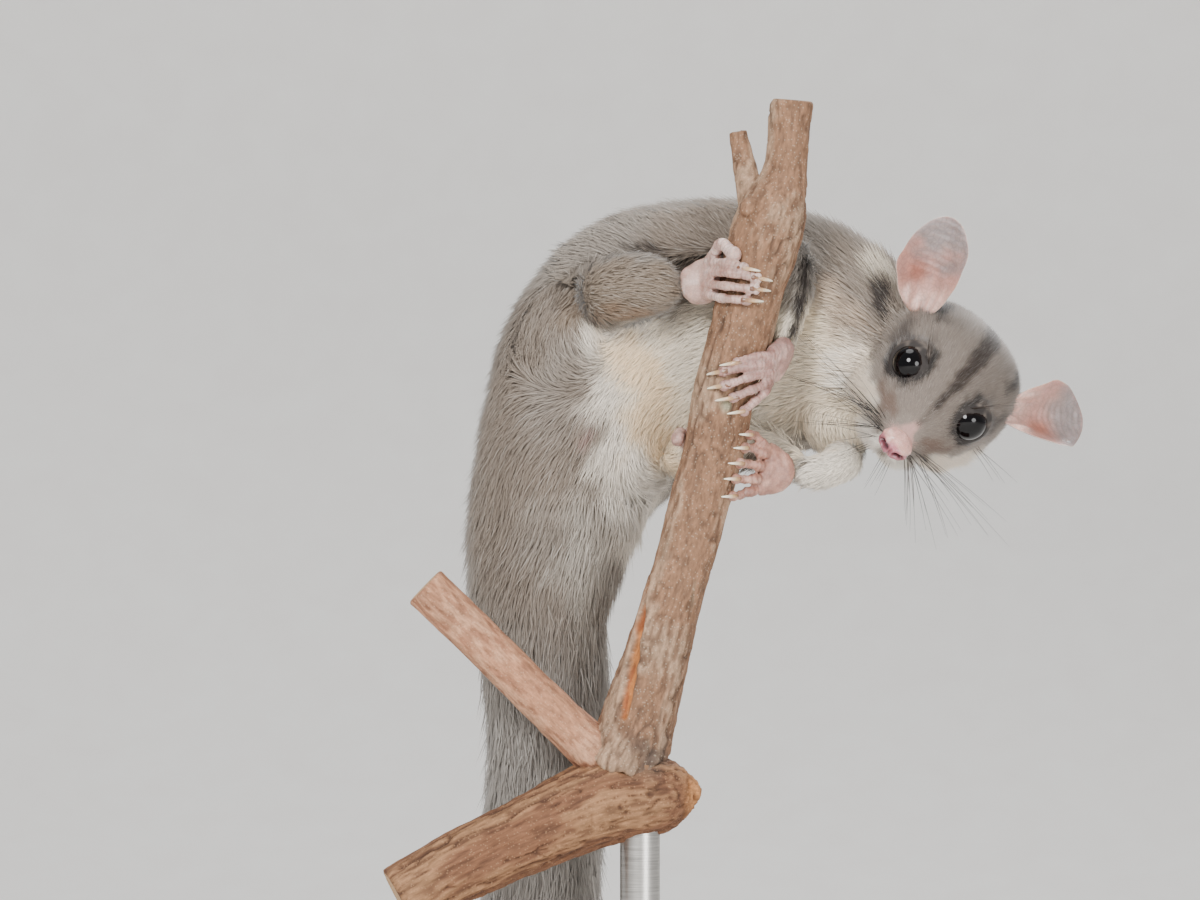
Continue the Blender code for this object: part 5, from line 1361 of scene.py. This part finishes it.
def earForm(settings, segments=96, rings=72):
    # a thin cupped leaf from a flattened ball, and for each point its places across, along and in or out
    side, lies = settings["side"], settings["lies"]
    up = Vector(lies[0]).normalized()
    opening = Vector(lies[1])
    opening = (opening - up * opening.dot(up)).normalized()
    across = up.cross(opening)
    bm = bmesh.new()
    bmesh.ops.create_uvsphere(bm, u_segments=segments, v_segments=rings, radius=1.0)
    bmesh.ops.rotate(bm, verts=bm.verts, cent=(0, 0, 0), matrix=Matrix.Rotation(math.pi / 2, 3, "X"))
    # rows crowd towards the rim, so it stays crisp
    for vert in bm.verts:
        flat = math.hypot(vert.co.x, vert.co.z)
        if 1e-6 < flat < 1:
            wanted = flat ** 1.35 if flat < 0.999 else flat
            vert.co.x *= wanted / flat
            vert.co.z *= wanted / flat
            vert.co.y = math.copysign(math.sqrt(max(0.0, 1 - wanted ** 2)), vert.co.y)
    places = np.array([tuple(vert.co) for vert in bm.verts])
    x, y, share = places[:, 0], places[:, 1], (places[:, 2] + 1) / 2
    flat = x * x + places[:, 2] ** 2
    inner = y > 0
    broad = ears["width"] * (0.78 + 0.5 * share - 0.34 * share ** 2)
    broad *= 1 + 0.035 * cloud(np.stack([share * 9, x, x * 0], axis=1), 1.3) * flat
    cup = 4.6 * (1 - share) ** 0.7 + 1.2
    thick = (ears["thick"] + 0.35 * (1 - share)) * (1 - flat ** 3 * 0.35)
    edge = np.sqrt(np.clip(1 - flat, 0, 1))
    dish = cup * (x * x * 1.5 - 0.55) + 1.4 * share ** 2 + 0.5 * np.abs(x) ** 9
    ribs = np.sin(share * ears["length"] * math.tau / ears["ribStep"] + 1.2 * x)
    relief = ears["ribHeight"] * ribs * smoothStep(0.3, 0.5, share) * smoothStep(0.0, 0.35, edge)
    fold = np.zeros(len(places))
    for middle, low, high, tall, width in ears["folds"]:
        centre = middle * (1 + 0.5 * (share - low))
        ridge = np.exp(-((x * side * -1 - centre) / width) ** 2)
        fold += tall * ridge * smoothStep(low - 0.02, low + 0.08,
                                          share) * (1 - smoothStep(high - 0.16, high, share))
    relief = relief + np.where(inner, fold * smoothStep(0.05, 0.35, edge), 0)
    relief = relief + 0.16 * cloud(np.stack([share * 20, x * 7, x * 0], axis=1), 3.0)
    lift = dish + np.sign(y) * thick * np.minimum(1.0, edge * 2.2) + relief
    root = Vector(mirrored(ears["root"], side))
    for vert, a, b, c in zip(bm.verts, share * ears["length"], x * broad, lift):
        vert.co = root + up * float(a) + across * float(b) + opening * float(c)
    return bm, x * side * -1, share, inner, edge, fold


def makeEar(name, settings, material):
    bm, x, share, inner, edge, fold = earForm(settings)
    bmesh.ops.recalc_face_normals(bm, faces=bm.faces)
    ear = makeObject(name, placed(bm, headFrame), material)
    tones = ears["tones"]
    points, _ = readPoints(ear.data)
    colours = np.tile(np.array(linear(tones["inside"])[:3]), (len(points), 1))
    colours = blendTone(colours, tones["grey"], 0.9 * smoothStep(
        0.38, 0.75, share + 0.12 * cloud(points, 3.0)))
    colours = blendTone(colours, tones["blush"],
                        0.8 * np.exp(-((share - 0.42) / 0.16) ** 2 - ((x + 0.45) / 0.34) ** 2))
    colours = blendTone(colours, tones["root"], 0.85 * (1 - smoothStep(0.12, 0.4, share - 0.1 * x)))
    colours = blendTone(colours, tones["root"], 0.5 * np.clip(fold, 0, 1))
    colours = np.where(inner[:, None], colours,
                       blendTone(colours, tones["outside"], np.full(len(points), 0.8)))
    colours = blendTone(colours, tones["rim"], (
        0.8 * (1 - smoothStep(0.05, 0.22, edge)) * smoothStep(0.1, 0.3, share)))
    writeAttribute(ear.data, "tone", colours, "FLOAT_COLOR")
    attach(ear, "root")
    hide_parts(settings["node"])
    print("ears:", name, len(ear.data.polygons), "faces")


def makeEars():
    # thin, nearly bald ear skin: light from behind warms it, with a soft shine on the folds
    material = bareSkinMaterial("earSkinThin", 1.1, 0.38, 2.2)
    material.node_tree.nodes["Principled BSDF"].inputs["Subsurface Scale"].default_value = 1.6 * mm
    for name in ("earRight", "earLeft"):
        makeEar(name, ears[name], material)


makeEars()


# nose: a wet pebbled pad with comma nostrils and a groove under it, with the pink bridge running up behind

nose = {
    "centre": (15.5, 0.0, -8.1), "size": (3.0, 3.45, 2.9),
    "nostril": [(17.9, 1.25, -8.9, 0.5), (17.5, 2.2, -8.75, 0.42), (16.8, 2.95, -9.3, 0.2)],
    "nostrilDepth": 1.0,
    "groove": [(18.6, 0.0, -8.6, 0.3), (17.9, 0.0, -10.4, 0.3), (16.0, 0.0, -11.4, 0.3)],
    "ledge": [(17.6, 0.0, -6.9), (17.0, 2.0, -7.0), (15.6, 3.2, -7.6)],    # top edge of the pad
    # dark and deep are painted shade in and around the nostrils and in the groove; rim is a painted highlight
    # along the top edge of the pad
    "tones": {"pad": "b5737a", "deep": "8f5560", "bridge": "cf9f93", "dark": "33191c", "rim": "e3c4bb"},
}


def makeNose():
    bm = ball(nose["centre"], nose["size"], 120, 90, Matrix.Rotation(math.pi / 2, 4, "Y"))
    places = np.array([tuple(vert.co) for vert in bm.verts])
    bm.normal_update()
    out = np.array([tuple(vert.normal) for vert in bm.verts])
    if (out * (places - np.array(nose["centre"]))).sum() < 0:
        out = -out
    both = places * (1, 0, 1) + np.abs(places) * (0, 1, 0)
    hole, width = toLine(both, nose["nostril"])
    groove = toLine(places, nose["groove"])[0]
    ledge = toLine(both, nose["ledge"])[0]
    opened = 1 - smoothStep(-0.1, 0.35, hole - width)
    height = -nose["nostrilDepth"] * opened + 0.28 * np.exp(-((hole - width - 0.55) / 0.4) ** 2)
    height += -0.4 * np.exp(-(groove / 0.3) ** 2) + 0.12 * np.exp(-((groove - 0.6) / 0.3) ** 2)
    height += 0.22 * np.exp(-(ledge / 0.4) ** 2) - 0.25 * smoothStep(-6.6, -5.2, places[:, 2])
    height += 0.05 * cloud(places, 0.55)
    moved = places + out * height[:, None]
    for vert, place in zip(bm.verts, moved):
        vert.co = Vector(place)
    # wet pebbled nose leather: pink, shiny between the pebbles, with painted shade in the lines between them
    leather = bareSkinMaterial("noseLeatherWet", 0.42, 0.22, 1.4)
    piece = makeObject("nose", placed(bm, headFrame), leather)
    tones = nose["tones"]
    colours = np.tile(np.array(linear(tones["bridge"])[:3]), (len(places), 1))
    onPad = 1 - smoothStep(
        -7.6, -6.7, places[:, 2] + 0.25 * np.abs(places[:, 1]) - 0.3 * cloud(places, 1.0))
    colours = blendTone(colours, tones["pad"], onPad)
    # painted shade: darker round the nostrils, and the nostril openings nearly black
    colours = blendTone(colours, tones["deep"],
                        onPad * 0.8 * np.exp(-(np.maximum(hole - width, 0) / 0.7) ** 2))
    colours = blendTone(colours, tones["dark"], 0.95 * opened)
    # painted highlight: a pale line along the top edge of the pad
    colours = blendTone(colours, tones["rim"], 0.8 * np.exp(-(ledge / 0.28) ** 2))
    # painted shade: darker in the groove under the nose
    colours = blendTone(colours, tones["deep"], 0.7 * np.exp(-(groove / 0.25) ** 2))
    writeAttribute(piece.data, "tone", colours, "FLOAT_COLOR")
    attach(piece, "root")
    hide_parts("nose")
    print("nose:", len(piece.data.polygons), "faces")


makeNose()


# eyes: big dark globes, nearly all pupil, with a thin brown iris far out and a wet line along the lids

eyes = {"radius": 4.2, "cornea": 0.3, "corneaReach": 3.4, "tear": 0.16, "tearOut": 3.95}


def eyeMaterial():
    # a wet eye: a very dark iris under a clear glossy cornea
    made, tree, shader = newMaterial("eyeCorneaWet")
    out = addNode(tree, "Attribute", {"attribute_name": "fromPupil"})
    spokes = addNode(tree, "TexNoise", None, {"Vector": addNode(tree, "TexCoord").outputs["Object"],
                                              "Scale": 1 / (0.5 * mm), "Detail": 2.0})
    moved = addNode(tree, "Math", {"operation": "MULTIPLY_ADD"},
                    {0: spokes.outputs["Fac"], 1: 0.06, 2: out.outputs["Fac"]})
    tint = addNode(tree, "ValToRGB", {"ramp": [(0.0, "020203"), (1.0, "050404"), (0.72, "050304"),
                                               (0.86, "1c120d")]},
                   {"Fac": moved.outputs[0]})
    setShader(tree, shader, {"Base Color": tint.outputs["Color"], "Roughness": 0.04, "Coat Weight": 0.1,
                             "Coat Roughness": 0.02, "Specular IOR Level": 0.22})
    return made


def tearMaterial():
    # the film of tears along the lids: clear, so it only adds a bright line
    made, tree, shader = newMaterial("tearFilmWet")
    blink = addNode(tree, "TexNoise", None, {"Vector": addNode(tree, "TexCoord").outputs["Object"],
                                             "Scale": 1 / (1.2 * mm)})
    tint = addNode(tree, "ValToRGB", {"ramp": [(0.3, "1a1414"), (0.7, "4a3c3a")]},
                   {"Fac": blink.outputs["Fac"]})
    setShader(tree, shader, {"Base Color": tint.outputs["Color"], "Roughness": 0.05, "Coat Weight": 1.0,
                             "Coat Roughness": 0.03})
    return made


def makeEyes():
    globe, film = eyeMaterial(), tearMaterial()
    for name, side, node in (("eyeRight", -1, "eye_right"), ("eyeLeft", 1, "eye_left")):
        centre = Vector(mirrored(head["eyeCentre"], side))
        look = Vector(mirrored(head["eyeLook"], side)).normalized()
        bm = ball(centre, (eyes["radius"],) * 3, 72, 56, look.to_track_quat("Z", "Y").to_matrix().to_4x4())
        fromPupil = []
        for vert in bm.verts:
            away = vert.co - centre
            reach = math.degrees(away.angle(look))
            vert.co += away.normalized() * eyes["cornea"] * math.exp(
                -(eyes["radius"] * math.radians(reach) / eyes["corneaReach"]) ** 4)
            fromPupil.append(min(1.0, reach / 62))
        eye = makeObject(name, placed(bm, headFrame), globe)
        writeAttribute(eye.data, "fromPupil", np.array(fromPupil), "FLOAT")
        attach(eye, "root")
        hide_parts(node)

        # the wet line: a fine ring where lid and eyeball meet
        bm = bmesh.new()
        high = math.sqrt(eyes["radius"] ** 2 - eyes["tearOut"] ** 2) + 0.08
        bmesh.ops.create_circle(bm, cap_ends=False, segments=10, radius=eyes["tear"],
                                matrix=Matrix.Translation((eyes["tearOut"], 0, 0))
                                @ Matrix.Rotation(math.pi / 2, 4, "X"))
        bmesh.ops.spin(bm, geom=bm.verts[:] + bm.edges[:], cent=(0, 0, 0), axis=(0, 0, 1), angle=math.tau,
                       steps=72,
                       use_merge=True, use_normal_flip=False, use_duplicate=False)
        bmesh.ops.remove_doubles(bm, verts=bm.verts, dist=0.001)
        bmesh.ops.recalc_face_normals(bm, faces=bm.faces)
        place = Matrix.Translation(centre + look * high) @ look.to_track_quat("Z", "Y").to_matrix().to_4x4()
        placed(bm, place)
        line = makeObject("tearLine" + name[3:], placed(bm, headFrame), film)
        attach(line, "root")
    print("eyes: two globes and their wet lines")


makeEyes()


# whiskers: long stiff hairs in rows on the muzzle, over the eyes, on the cheeks and under the chin

whiskers = {
    "thick": 0.075, "steps": 10,
    # root in the head frame, direction, length, and how many: each group is scattered round its root
    "groups": [((11.8, 4.6, -9.2), (-0.30, 0.9, 0.10), 19, 7, 1.5),
               ((9.6, 6.2, -9.6), (-0.5, 0.85, -0.05), 25, 7, 1.5),
               ((11.0, 4.6, -11.4), (-0.25, 0.75, -0.6), 17, 7, 1.4),
               ((8.6, 6.4, -11.6), (-0.5, 0.8, -0.4), 22, 6, 1.5),
               ((4.4, 7.0, 4.6), (0.35, 0.5, 0.8), 13, 4, 0.9),
               ((-4.5, 15.5, -6.5), (-0.3, 0.95, -0.1), 14, 4, 1.1),
               ((8.0, 2.0, -15.0), (0.35, 0.35, -0.86), 8, 6, 1.6)],
}


def whiskerMaterial():
    # a stiff black hair, smooth and shiny
    made, tree, shader = newMaterial("whiskerKeratinDark")
    place = addNode(tree, "TexCoord").outputs["Object"]
    fade = addNode(tree, "TexNoise", None, {"Vector": place, "Scale": 1 / (6.0 * mm)})
    tint = addNode(tree, "ValToRGB", {"ramp": [(0.35, "17120f"), (0.75, "4b3f37")]},
                   {"Fac": fade.outputs["Fac"]})
    setShader(tree, shader, {"Base Color": tint.outputs["Color"], "Roughness": 0.35})
    return made


def makeWhiskers():
    draw = random.Random(5)
    whole = bmesh.new()
    out = normals @ np.array(headInGrip)[:3, :3]
    for where, towards, length, count, spread in whiskers["groups"]:
        for side in (1, -1):
            for _ in range(count):
                wanted = Vector(mirrored(where, side)) + Vector(
                    [draw.uniform(-spread, spread) for _ in range(3)])
                nearest = int(np.argmin(((local - np.array(wanted)) ** 2).sum(axis=1)))
                root = Vector(local[nearest])
                aim = Vector(mirrored(towards, side)) + Vector(
                    [draw.uniform(-0.16, 0.16) for _ in range(3)])
                aim = (aim.normalized() + 0.35 * Vector(out[nearest])).normalized()
                long = length * draw.uniform(0.6, 1.1)
                droop = Vector((-0.5, 0.0, -0.45)) * draw.uniform(0.5, 1.2)
                rows = []
                for share in np.linspace(-0.03, 1, whiskers["steps"]):
                    place = root + aim * long * share + droop * long * 0.32 * share * abs(share)
                    rows.append((*place, whiskers["thick"] * (1.0 - 0.8 * max(0.0, share))))
                part = tube(wide(rows), 4, 9, facing=(0.1, 0.0, 1.0), roundEnds=(False, False))
                mesh = bpy.data.meshes.new("whisker")
                part.to_mesh(mesh)
                part.free()
                whole.from_mesh(mesh)
                bpy.data.meshes.remove(mesh)
    piece = makeObject("whiskers", placed(whole, headFrame), whiskerMaterial())
    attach(piece, "root")
    print("whiskers:", len(piece.data.polygons), "faces")


makeWhiskers()


# the stand: a stained board and a turned steel rod up into the bough

stand = {
    "length": 150.0, "width": 116.0, "height": 12.0, "corner": 14.0, "chamfer": 1.6,
    "rodX": -8.0, "rodRadius": 4.0, "rodFrom": 3.0, "rodTop": 137.0,
    "collarRadius": 7.0, "collarTopRadius": 6.0, "collarHeight": 4.0, "gap": 0.3, "round": 0.5,
}


def woodMaterial():
    # stained walnut board under satin lacquer: long dark grain with fine pores and a soft shine
    made, tree, shader = newMaterial("walnutStainedSatin")
    place = addNode(tree, "TexCoord").outputs["Object"]
    laid = addNode(tree, "Mapping", None, {"Vector": place, "Scale": (0.09, 1.0, 0.8),
                                           "Rotation": (0.0, 0.05, 0.04)})
    figure = addNode(tree, "TexNoise", None, {"Vector": laid.outputs[0], "Scale": 1 / (9.0 * mm),
                                              "Detail": 3.0,
                                              "Distortion": 0.6})
    wave = addNode(tree, "Math", {"operation": "MULTIPLY"}, {0: figure.outputs["Fac"], 1: 42.0})
    rings = addNode(tree, "Math", {"operation": "SINE"}, {0: wave.outputs[0]})
    spread = addNode(tree, "MapRange", None, {"Value": rings.outputs[0], "From Min": -1.0, "To Min": 0.0,
                                              "To Max": 0.8})
    fibre = addNode(tree, "TexNoise", None, {"Vector": laid.outputs[0], "Scale": 1 / (0.5 * mm),
                                             "Detail": 3.0})
    mixed = addNode(tree, "Math", {"operation": "MULTIPLY_ADD"},
                    {0: fibre.outputs["Fac"], 1: 0.5, 2: spread.outputs[0]})
    tint = addNode(tree, "ValToRGB", {"ramp": [(0.15, "2c1a11"), (1.0, "6a432a"), (0.6, "4a2c1b")]},
                   {"Fac": mixed.outputs[0]})
    sheen = addNode(tree, "MapRange", None, {"Value": fibre.outputs["Fac"], "To Min": 0.3, "To Max": 0.5})
    bump = addNode(tree, "Bump", None, {"Height": fibre.outputs["Fac"], "Strength": 0.12,
                                        "Distance": 0.1 * mm})
    setShader(tree, shader, {"Base Color": tint.outputs["Color"], "Roughness": sheen.outputs[0],
                             "Coat Weight": 0.25,
                             "Coat Roughness": 0.25, "Normal": bump.outputs[0]})
    return made


def steelMaterial():
    # stainless steel turned on a lathe and brushed: fine rings round the rod
    made, tree, shader = newMaterial("stainlessSteelBrushed")
    place = addNode(tree, "TexCoord").outputs["Object"]
    # brush lines are drawn 0.25 mm apart, coarser than real ones, so that they show
    laid = addNode(tree, "Mapping", None, {"Vector": place, "Scale": (0.04, 0.04, 1.0)})
    rings = addNode(tree, "TexNoise", None, {"Vector": laid.outputs[0], "Scale": 1 / (0.25 * mm),
                                             "Detail": 2.0})
    tint = addNode(tree, "ValToRGB", {"ramp": [(0.3, "a9a6a1"), (0.7, "c8c5c0")]},
                   {"Fac": rings.outputs["Fac"]})
    rough = addNode(tree, "MapRange", None, {"Value": rings.outputs["Fac"], "To Min": 0.24, "To Max": 0.42})
    bump = addNode(tree, "Bump", None, {"Height": rings.outputs["Fac"], "Strength": 0.15,
                                        "Distance": 0.03 * mm})
    setShader(tree, shader, {"Base Color": tint.outputs["Color"], "Metallic": 1.0,
                             "Roughness": rough.outputs[0],
                             "Normal": bump.outputs[0]})
    return made


def makeStand():
    bm = bmesh.new()
    bmesh.ops.create_cube(bm, size=1.0)
    bmesh.ops.scale(bm, vec=(stand["length"] * mm, stand["width"] * mm, stand["height"] * mm),
                    verts=bm.verts)
    bmesh.ops.translate(bm, vec=(0, 0, stand["height"] / 2 * mm), verts=bm.verts)
    uprights = [e for e in bm.edges if abs(e.verts[0].co.z - e.verts[1].co.z) > stand["height"] / 2 * mm]
    bmesh.ops.bevel(bm, geom=uprights, offset=stand["corner"] * mm, offset_type="OFFSET", affect="EDGES",
                    segments=14, profile=0.5, material=-1)
    rim = [e for e in bm.edges if all(v.co.z > (stand["height"] - 0.01) * mm for v in e.verts)]
    bmesh.ops.bevel(bm, geom=rim, offset=stand["chamfer"] * mm, offset_type="OFFSET", affect="EDGES",
                    segments=5, profile=0.5, material=-1)
    foot = [e for e in bm.edges if all(v.co.z < 0.01 * mm for v in e.verts)]
    bmesh.ops.bevel(bm, geom=foot, offset=0.5 * mm, offset_type="OFFSET", affect="EDGES",
                    segments=2, profile=0.5, material=-1)
    base = makeObject("standBase", bm, woodMaterial())
    base.data.set_sharp_from_angle(angle=math.radians(40))
    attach(base, "root")
    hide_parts("stand_base")

    low, top = stand["height"] + stand["gap"], stand["rodTop"]
    radius, collar, rounded = stand["rodRadius"], stand["collarRadius"], stand["round"]
    profile = [(0.0, stand["rodFrom"]), (radius, stand["rodFrom"]), (radius, low), (collar, low)]
    shoulder = low + stand["collarHeight"]
    profile += [(collar, low + 1.2)]
    for turn in np.linspace(0, math.pi / 2, 6):
        profile.append((stand["collarTopRadius"] - rounded + rounded * math.cos(turn),
                        shoulder - rounded + rounded * math.sin(turn)))
    profile += [(radius + 0.5, shoulder), (radius, shoulder + 0.5), (radius, top), (0.0, top)]
    bm = bmesh.new()
    verts = [bm.verts.new((stand["rodX"] + r, 0.0, z)) for r, z in profile]
    chain = [bm.edges.new(pair) for pair in zip(verts, verts[1:])]
    bmesh.ops.spin(bm, geom=verts + chain, cent=(stand["rodX"], 0, 0), axis=(0, 0, 1), angle=math.tau,
                   steps=64,
                   use_merge=True, use_normal_flip=False, use_duplicate=False)
    bmesh.ops.remove_doubles(bm, verts=bm.verts, dist=0.001)
    bmesh.ops.recalc_face_normals(bm, faces=bm.faces)
    rod = makeObject("standRod", placed(bm), steelMaterial())
    rod.data.set_sharp_from_angle(angle=math.radians(40))
    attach(rod, "root")
    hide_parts("stand_rod")
    print("stand: board and rod")


makeStand()
